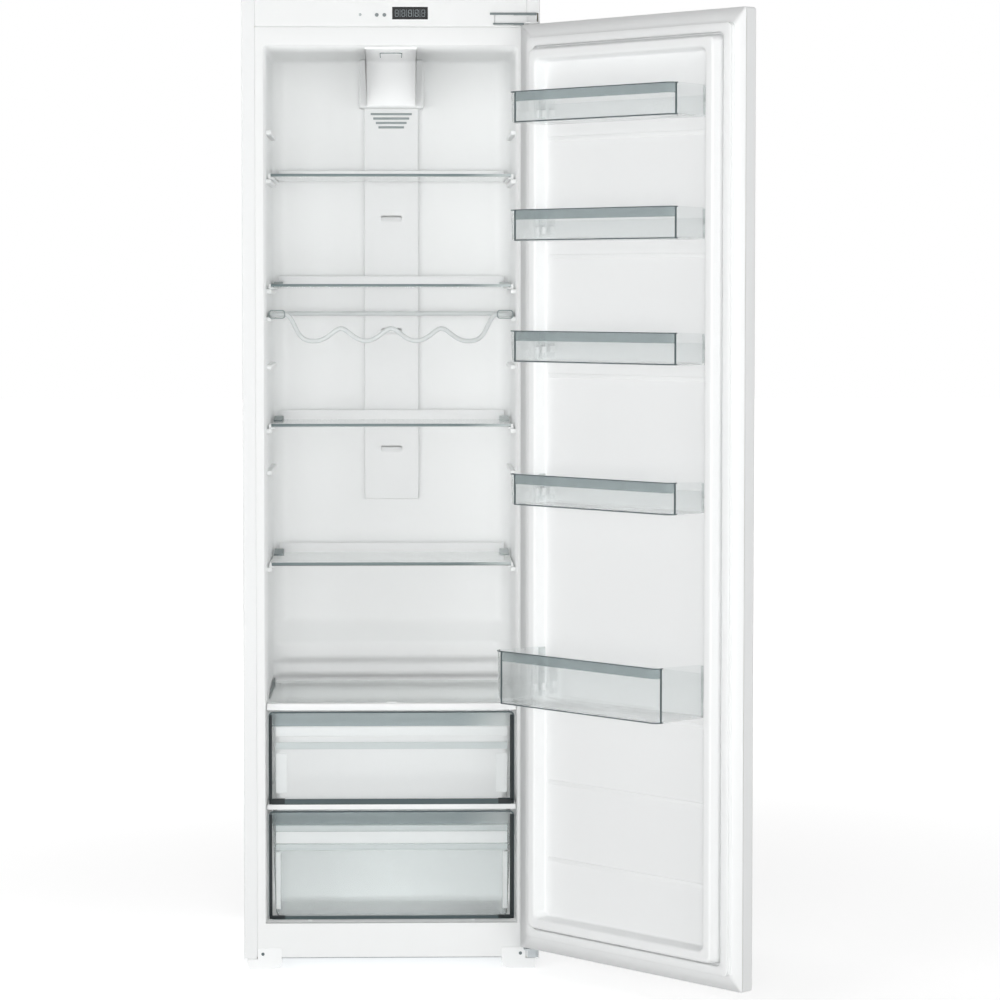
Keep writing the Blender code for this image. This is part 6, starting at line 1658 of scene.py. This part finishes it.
@dataclass
class Balcony:
    """A clear door tray hooked over two studs, with a smoked band round its front edge.

    The share is how far up the door it stands, the reach how far its front is from the door, and the
    free and hinge lines are distances along the front, from the door's free side.
    """

    number: int
    share: float
    height: float
    reach: float
    half: float = 0.1965
    stand: float = 0.008
    draft: float = 0.002
    wall: float = 0.0022
    foot: float = 0.004
    back_corner: float = 0.005
    front_corner: float = 0.014
    low_back: float = 0.022
    slot: Span = (0.1909, 0.2005)
    slot_depths: Span = (-0.0006, 0.0086)
    slot_rise: float = 0.0263
    band: float = 0.018
    band_wall: float = 0.0012
    band_return: float = 0.0145
    line: float = 0.0019
    free_line: float = 0.0040
    hinge_line: float = 0.3860

    @property
    def low(self) -> float:
        """The tray's underside."""
        return DOOR_LOW + self.share * (DOOR_HIGH - DOOR_LOW)

    @property
    def top(self) -> float:
        """The tray's front edge."""
        return self.low + self.height

    @property
    def near(self) -> float:
        """The depth of the tray's back, next to the door."""
        return DOOR_PLANE + self.stand

    @property
    def far(self) -> float:
        """The depth of the tray's front, into the cabinet when the door is closed."""
        return DOOR_PLANE + self.reach - self.band_wall - SEAT

    def _rings(self, grow: float) -> Array:
        """The tray's rings from the foot up; the back's rim dips between its corners.

        A point's height is its share of the wall times the rim's height there, which falls by the
        low back's drop as the point nears the back, by a smooth step.

        Args:
            grow: How far the rings lie inside the tray's outside, and above its underside.

        Returns:
            Points of shape (rows, columns, 3), before the door is swung open.
        """
        arc_in, arc_up = quarter(self.foot, 4)
        inset = np.concatenate([arc_in, np.zeros(4)]) + grow
        rise = np.concatenate([arc_up, np.linspace(self.foot, self.height - grow, 5)[1:]])
        lean = self.draft * (1 - np.clip(rise / (self.height - self.band), 0, 1))
        corner = np.repeat([self.back_corner, self.front_corner], 2)[None] - inset[:, None]
        low, high = (-self.half + inset, self.near + inset), (self.half - inset, self.far - inset - lean)
        rings = rounded_rings(low, high, np.maximum(corner, 0.0012))
        step = np.clip((self.near + 0.006 - rings[..., 1:]) / 0.005, 0, 1)
        step = step * step * (3 - 2 * step)
        rise, share = rise[:, None, None], (rise / rise[-1])[:, None, None]
        return lying(rings, self.low + grow + rise - share * step * self.low_back)

    def tray(self) -> bpy.types.Object:
        """The tray, with slots in its end walls for the door's studs.

        Returns:
            The piece.
        """
        rings = np.concatenate([self._rings(0.0), self._rings(self.wall)[::-1]])
        walls = Surface(rings, True, False, True, True)
        slots = pair(self.slot, self.slot_depths, (self.low - 0.01, self.low + self.slot_rise), 0.0008)
        return notched(mesh_from(f"balcony_tray_{self.number}", swung([walls])), swung(slots))

    def _strip(self, low: float, high: float, first: float = 0.0, last: float | None = None) -> Surface:
        """A thin upright strip that follows the tray's front and its two corners, on the outside.

        Args:
            low: The strip's lowest height.
            high: Its highest.
            first: How far along the front it starts, from the door's free side.
            last: How far along it ends, or the whole way.

        Returns:
            The closed surface, for the closed door.
        """
        wall, tall = self.band_wall, (high - low) / 2
        edge = SEAT + wall / 2
        start, face = self.far - self.band_return, self.far + edge
        half, corner = self.half + edge, self.front_corner + edge
        path = rounded_path([(-half, start, 0), (-half, face, corner), (half, face, corner),
                             (half, start, 0)], 16)
        along = np.concatenate([[0.0], np.cumsum(np.linalg.norm(np.diff(path, axis=0), axis=1))])
        end = along[-1] if last is None else last
        marks = np.concatenate([[first], along[(along > first + 1e-5) & (along < end - 1e-5)], [end]])
        x, depth = np.interp(marks, along, path[:, 0]), np.interp(marks, along, path[:, 1])
        line = np.stack([x, deep(depth), np.full(len(x), (low + high) / 2)], -1)
        return carried(line, rounded_rings((-wall / 2, -tall), (wall / 2, tall), min(wall, tall) * 0.4, 3)[0])

    def outline(self) -> list[Surface]:
        """Dark lines round the tray's front and over its band, and a tick at each end: painted shade where
        the clear tray's edges look dark.

        Returns:
            The surfaces.
        """
        foot, under = self.low + 0.0004, self.top - self.line
        free, hinge, across = self.free_line, self.hinge_line, (self.half + SEAT, self.half + 0.0015)
        lines = [self._strip(under, self.top), self._strip(foot, self.low + 0.0026, 0.0, hinge),
                 self._strip(foot, under, hinge - 0.0030, hinge + 0.0002),
                 self._strip(foot, under, free - 0.0014, free + 0.0018)]
        depths, heights = (self.near + 0.004, self.near + 0.013), (self.top - 0.0290, self.top - 0.0265)
        return lines + pair(across, depths, heights, 0.0004)

    def cheeks(self) -> list[Surface]:
        """A pale upright strip on each end wall beside the door: painted light on the wall's shaded side.

        Returns:
            The surfaces.
        """
        depths, heights = (self.near + 0.001, self.near + 0.018), (self.low + 0.003, self.top - 0.004)
        return pair((self.half + SEAT, self.half + 0.0012), depths, heights, 0.0004)

    def build(self, shop: Workshop) -> None:
        """Makes the tray, band and outline in place of the CAD ones.

        Args:
            shop: The workshop that places the pieces.
        """
        number = self.number
        body, trim = f"door_balcony_{number}", [f"balcony_trim_{number}"]
        band = [self._strip(self.top - self.band, self.top - 0.0020, self.free_line, self.hinge_line)]
        shop.place(self.tray(), body, Slot.CLEAR_PLASTIC, [f"balcony_{number}"], TRAY_CLEAR)
        # The band's finish pales towards its ends: a painted highlight.
        shop.add(f"balcony_band_{number}", swung(band), body, Slot.SMOKED_PLASTIC, trim, TRAY_BAND_HIGHLIT)
        # The outline is painted shade along the tray's edges.
        shop.add(f"balcony_painted_edge_shade_{number}", swung(self.outline()), body, Slot.DARK_TRIM, trim, DARK_TRIM_AND_EDGE_SHADE)
        # The pale strips are painted light.
        shop.add(f"balcony_cheeks_{number}", swung(self.cheeks()), body, Slot.SMOKED_PLASTIC, (), TRAY_CHEEK_LIT)


# ---------------------------------------------------------------- machine space


@dataclass
class MachineSpace:
    """The compressor's welded shell, the condenser's coil, the suction pipe and the space's lining.

    The shell is the X and depth of its axis, and the space its front, back and top.
    """

    shell: Span = (0.060, 0.378)
    foot: float = 0.0218
    radius: float = 0.080
    height: float = 0.160
    seam: float = 0.004
    coil_depth: float = 0.5007
    coil_low: float = 0.380
    coil_half: float = 0.120
    pitch: float = 0.1125
    runs: int = 9
    tube: float = 0.0025
    space: Triple = (0.2700, 0.4725, 0.215)
    space_half: float = 0.2684
    space_foot: float = 0.0030
    lining_wall: float = 0.0012
    suction_reach: float = 0.028
    suction_heights: Span = (0.105, 0.262)

    def lining(self) -> list[Surface]:
        """The thin sheet over the foam round the compressor, bent along its front corner.

        Returns:
            The surface.
        """
        front, back, top = self.space
        front, high = front + 0.0002, top - 0.0002
        behind, under, foot = front + self.lining_wall, high - self.lining_wall, self.space_foot
        section = rounded_path([
            (front, foot, 0), (behind, foot, 0.0002), (behind, under, 0.004), (back, under, 0.0002),
            (back, high, 0.0002), (front, high, 0.0052), (front, foot, 0)], 4)[:-1]
        return [prism(section, -self.space_half, self.space_half, 0.0002)]

    def _upright(self, path: Array, place: float) -> Surface:
        """A tube along (X, height) points, in the plane at one depth."""
        line = standing(path[None], np.array([place]))[0]
        return carried(line, circle(self.tube, 12)[:, ::-1], fixed=(0.0, 1.0, 0.0))

    def coil(self) -> list[Surface]:
        """The condenser's tube: it climbs from the compressor, then runs to and fro up the plate.

        Returns:
            The surfaces.
        """
        bend, runs, (x, depth), low = self.pitch / 2, np.arange(self.runs - 1), self.shell, self.coil_low
        reach = np.where(runs % 2 == 0, 1.0, -1.0) * (self.coil_half + bend)
        heights = low + self.pitch * np.stack([runs, runs + 1], -1)
        corners = np.stack([np.repeat(reach, 2), heights.ravel(), np.full(2 * len(runs), bend * 0.995)], -1)
        start = [(x, low - 0.050, 0), (x, low, 0.022)]
        end = [(self.coil_half, low + self.pitch * (self.runs - 1), 0)]
        climb = self._upright(rounded_path(np.concatenate([start, corners, end]), 10), self.coil_depth)
        height = self.foot + self.height / 2
        rise = rounded_path([(depth + self.radius, height, 0), (self.coil_depth, height, 0.012),
                             (self.coil_depth, low - 0.030, 0)], 8)
        line = np.stack([np.full(len(rise), x), deep(rise[:, 0]), rise[:, 1]], -1)
        return [climb, carried(line, circle(self.tube, 12)[:, ::-1], fixed=(1.0, 0.0, 0.0))]

    def suction(self) -> list[Surface]:
        """The copper pipe that comes down from the ceiling and bends into the compressor's side.

        Returns:
            The surface.
        """
        x, (low, high) = self.shell[0] - self.radius, self.suction_heights
        path = rounded_path([(x + 0.006, low, 0), (x - self.suction_reach, low, 0.018),
                             (x - self.suction_reach, high, 0)], 8)
        return [self._upright(path, self.shell[1] + 0.010)]

    def compressor(self) -> list[Surface]:
        """The welded steel shell: a turned profile with a domed top, a seam and a dished foot.

        Returns:
            The surface.
        """
        r, h = self.radius, self.height
        dome = np.linspace(0, np.pi / 2, 12)
        top = np.stack([r * np.sin(dome), h * (0.72 + 0.28 * np.cos(dome) ** 0.9)], -1)
        seam = [(r, h * 0.40), (r + self.seam, h * 0.39), (r + self.seam, h * 0.36), (r, h * 0.35)]
        base = [(r * 0.985, h * 0.14), (r * 0.93, h * 0.06), (r * 0.80, h * 0.015), (r * 0.55, 0.0),
                (0.0, 0.0)]
        return [turned(np.concatenate([top, seam, base]), (self.shell[0], deep(self.shell[1]), self.foot))]

    def build(self, shop: Workshop) -> None:
        """Makes the machine space's smooth pieces.

        Args:
            shop: The workshop that places the pieces.
        """
        black = Slot.BLACK_STEEL
        shop.add("compressor_shell", self.compressor(), Body.CABINET, black, ["compressor"], sharp=ROUND)
        shop.add("condenser_pipe", self.coil(), Body.CABINET, black, ["condenser_coil"], BLACK_TUBE, ROUND)
        shop.add("suction_pipe", self.suction(), Body.CABINET, Slot.COPPER, sharp=ROUND)
        shop.add("machine_space_lining", self.lining(), Body.CABINET, Slot.ZINC_STEEL)


# ---------------------------------------------------------------- studio


@dataclass
class Studio:
    """A plain pale floor, soft even light and the photograph's camera.

    Lift is the floor's glow to the eye, near the object and far away, and a lamp its name, place
    and watts.
    """

    place: Triple = (0.01279, -6.13112, 1.22884)
    yaw: float = 1.27058
    tilt: float = 2.86891
    lens: float = 116.666
    sensor: float = 36.0
    shift: Span = (0.03, -0.05)
    world: float = 0.30
    lift: Span = (0.54, 0.80)
    lift_reach: Span = (0.7, 4.0)
    floor_half: int = 30
    lamp_size: float = 3.0
    lamp_aim: Triple = (0.0, 0.0, 0.9)
    lamps: tuple[tuple[str, Triple, float], ...] = (
        ("front", (-0.3, -6.8, 0.9), 162.0), ("key", (-3.4, -5.0, 1.3), 78.0),
        ("fill", (3.4, -5.2, 1.0), 78.0), ("back", (-4.5, 5.0, 2.6), 75.0))

    def camera(self) -> None:
        """The camera, turned a little to the right and down, with a small shift."""
        data = bpy.data.cameras.new("camera")
        data.lens, data.sensor_width = self.lens, self.sensor
        data.shift_x, data.shift_y = self.shift
        data.clip_end = 200.0
        camera = bpy.data.objects.new("camera", data)
        bpy.context.scene.collection.objects.link(camera)
        turn = Matrix.Rotation(math.radians(-self.yaw), 4, "Z")
        turn = turn @ Matrix.Rotation(math.radians(90 - self.tilt), 4, "X")
        camera.matrix_world = Matrix.Translation(self.place) @ turn
        bpy.context.scene.camera = camera

    @staticmethod
    def _seen(tree: Tree, other: float, seen: float) -> Socket:
        """One value for camera, glass and gloss rays, and another for the rest.

        Args:
            tree: The tree that gets the nodes.
            other: The value for light that matt surfaces bounce.
            seen: The value for what is looked at.

        Returns:
            The value's socket.
        """
        rays = added(tree, "LightPath", {})
        either = maths(tree, "MAXIMUM", rays["Is Camera Ray"], rays["Is Transmission Ray"])
        either = maths(tree, "MAXIMUM", either, rays["Is Glossy Ray"])
        return ranged(tree, {"Value": either, "To Min": other, "To Max": seen})

    def sky(self) -> None:
        """The world: white where the camera, glass and metal see it, plainer where it lights."""
        world = bpy.data.worlds.new("studio")
        world.use_nodes = True
        tree = world.node_tree
        feed(tree, tree.nodes["Background"], {
            "Color": (1.0, 1.0, 1.0, 1.0), "Strength": self._seen(tree, self.world, 1.0)})
        bpy.context.scene.world = world

    def floor(self, effects: Effects, low: float) -> None:
        """A wide pale floor, a level grid that looks whiter the farther it is from the object.

        Args:
            effects: The shared node groups.
            low: The height that the object stands on.
        """
        reach = np.linspace(-self.floor_half, self.floor_half, 2 * self.floor_half + 1)
        x, y = np.meshgrid(reach, reach)
        z = np.full_like(x, low) - 0.0000001 * (x * x + y * y)
        floor = sheet("studio_floor", [Surface(np.stack([x, y, z], -1))], (0, 0, 10), 0.0)
        pale = PALE_FLOOR.made(effects)
        tree = pale.node_tree
        away = added(tree, "VectorMath", {0: added(tree, "TexCoord", {})["Object"]}, "LENGTH")["Value"]
        ends = dict(zip(("From Min", "From Max", "To Min", "To Max"), (*self.lift_reach, *self.lift)))
        share = ranged(tree, {"Value": away, **ends}, "SMOOTHSTEP")
        level = maths(tree, "MULTIPLY", self._seen(tree, 0.0, 1.0), share)
        feed(tree, tree.nodes["Principled BSDF"], {
            "Emission Strength": level, "Emission Color": (1.0, 1.0, 1.0, 1.0), "Specular IOR Level": 0.0})
        floor.data.materials.append(pale)
        floor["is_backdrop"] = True

    def light(self) -> None:
        """Four large soft boxes: one by the camera, one on either side of it, and one behind."""
        for name, place, power in self.lamps:
            data = bpy.data.lights.new(name, "AREA")
            data.shape, data.size, data.energy = "DISK", self.lamp_size, power
            lamp = bpy.data.objects.new(name, data)
            lamp.location = place
            lamp.rotation_euler = (Vector(self.lamp_aim) - Vector(place)).to_track_quat("-Z", "Y").to_euler()
            lamp.visible_glossy = name != "front"
            bpy.context.scene.collection.objects.link(lamp)

    def build(self, effects: Effects, low: float) -> None:
        """Sets the view, the camera, the world, the floor and the lamps.

        Args:
            effects: The shared node groups.
            low: The height that the object stands on.
        """
        bpy.context.scene.view_settings.view_transform = "Standard"
        self.camera()
        self.sky()
        self.floor(effects, low)
        self.light()


def main() -> None:
    """Builds every sub-assembly in order."""
    logging.basicConfig(level=logging.INFO, format="%(name)s: %(message)s")
    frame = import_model()
    cad = [list(corner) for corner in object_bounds()]
    shop = Workshop()
    shop.dress(frame["nodes"])
    for part in (Liner(), ControlPanel(), AirDuct(), CrisperCover(), FootScrews()):
        part.build(shop)
    for number, top in enumerate((1.4365, 1.2334, 0.9748, 0.7172), 1):
        Shelf(number, top).build(shop)
    BottleRack().build(shop)
    upper = ((0.4043, 0.4226, False), (0.3806, 0.3934, True))
    lower = ((0.2283, 0.2411, True), (0.2060, 0.2276, False), (0.1933, 0.2043, True))
    Drawer("upper_drawer", Body.UPPER_DRAWER, 0.2784, 0.4501, 0.372, sill=0.0100, strips=upper).build(shop)
    Drawer("lower_drawer", Body.LOWER_DRAWER, 0.0653, 0.2661, 0.227, strips=lower,
           columns=(0.084, 0.190, 0.2045), haze=HAZY).build(shop)
    DoorInside().build(shop)
    DoorSeal().build(shop)
    for number, share in enumerate(BALCONY_SHARES, 1):
        height, reach = (0.0555, 0.105) if number < 5 else (0.0945, 0.138)
        Balcony(number, share, height, reach).build(shop)
    MachineSpace().build(shop)
    Studio().build(shop.effects, cad[0][2])
    bpy.context.view_layer.update()


if __name__ == "__main__":
    main()
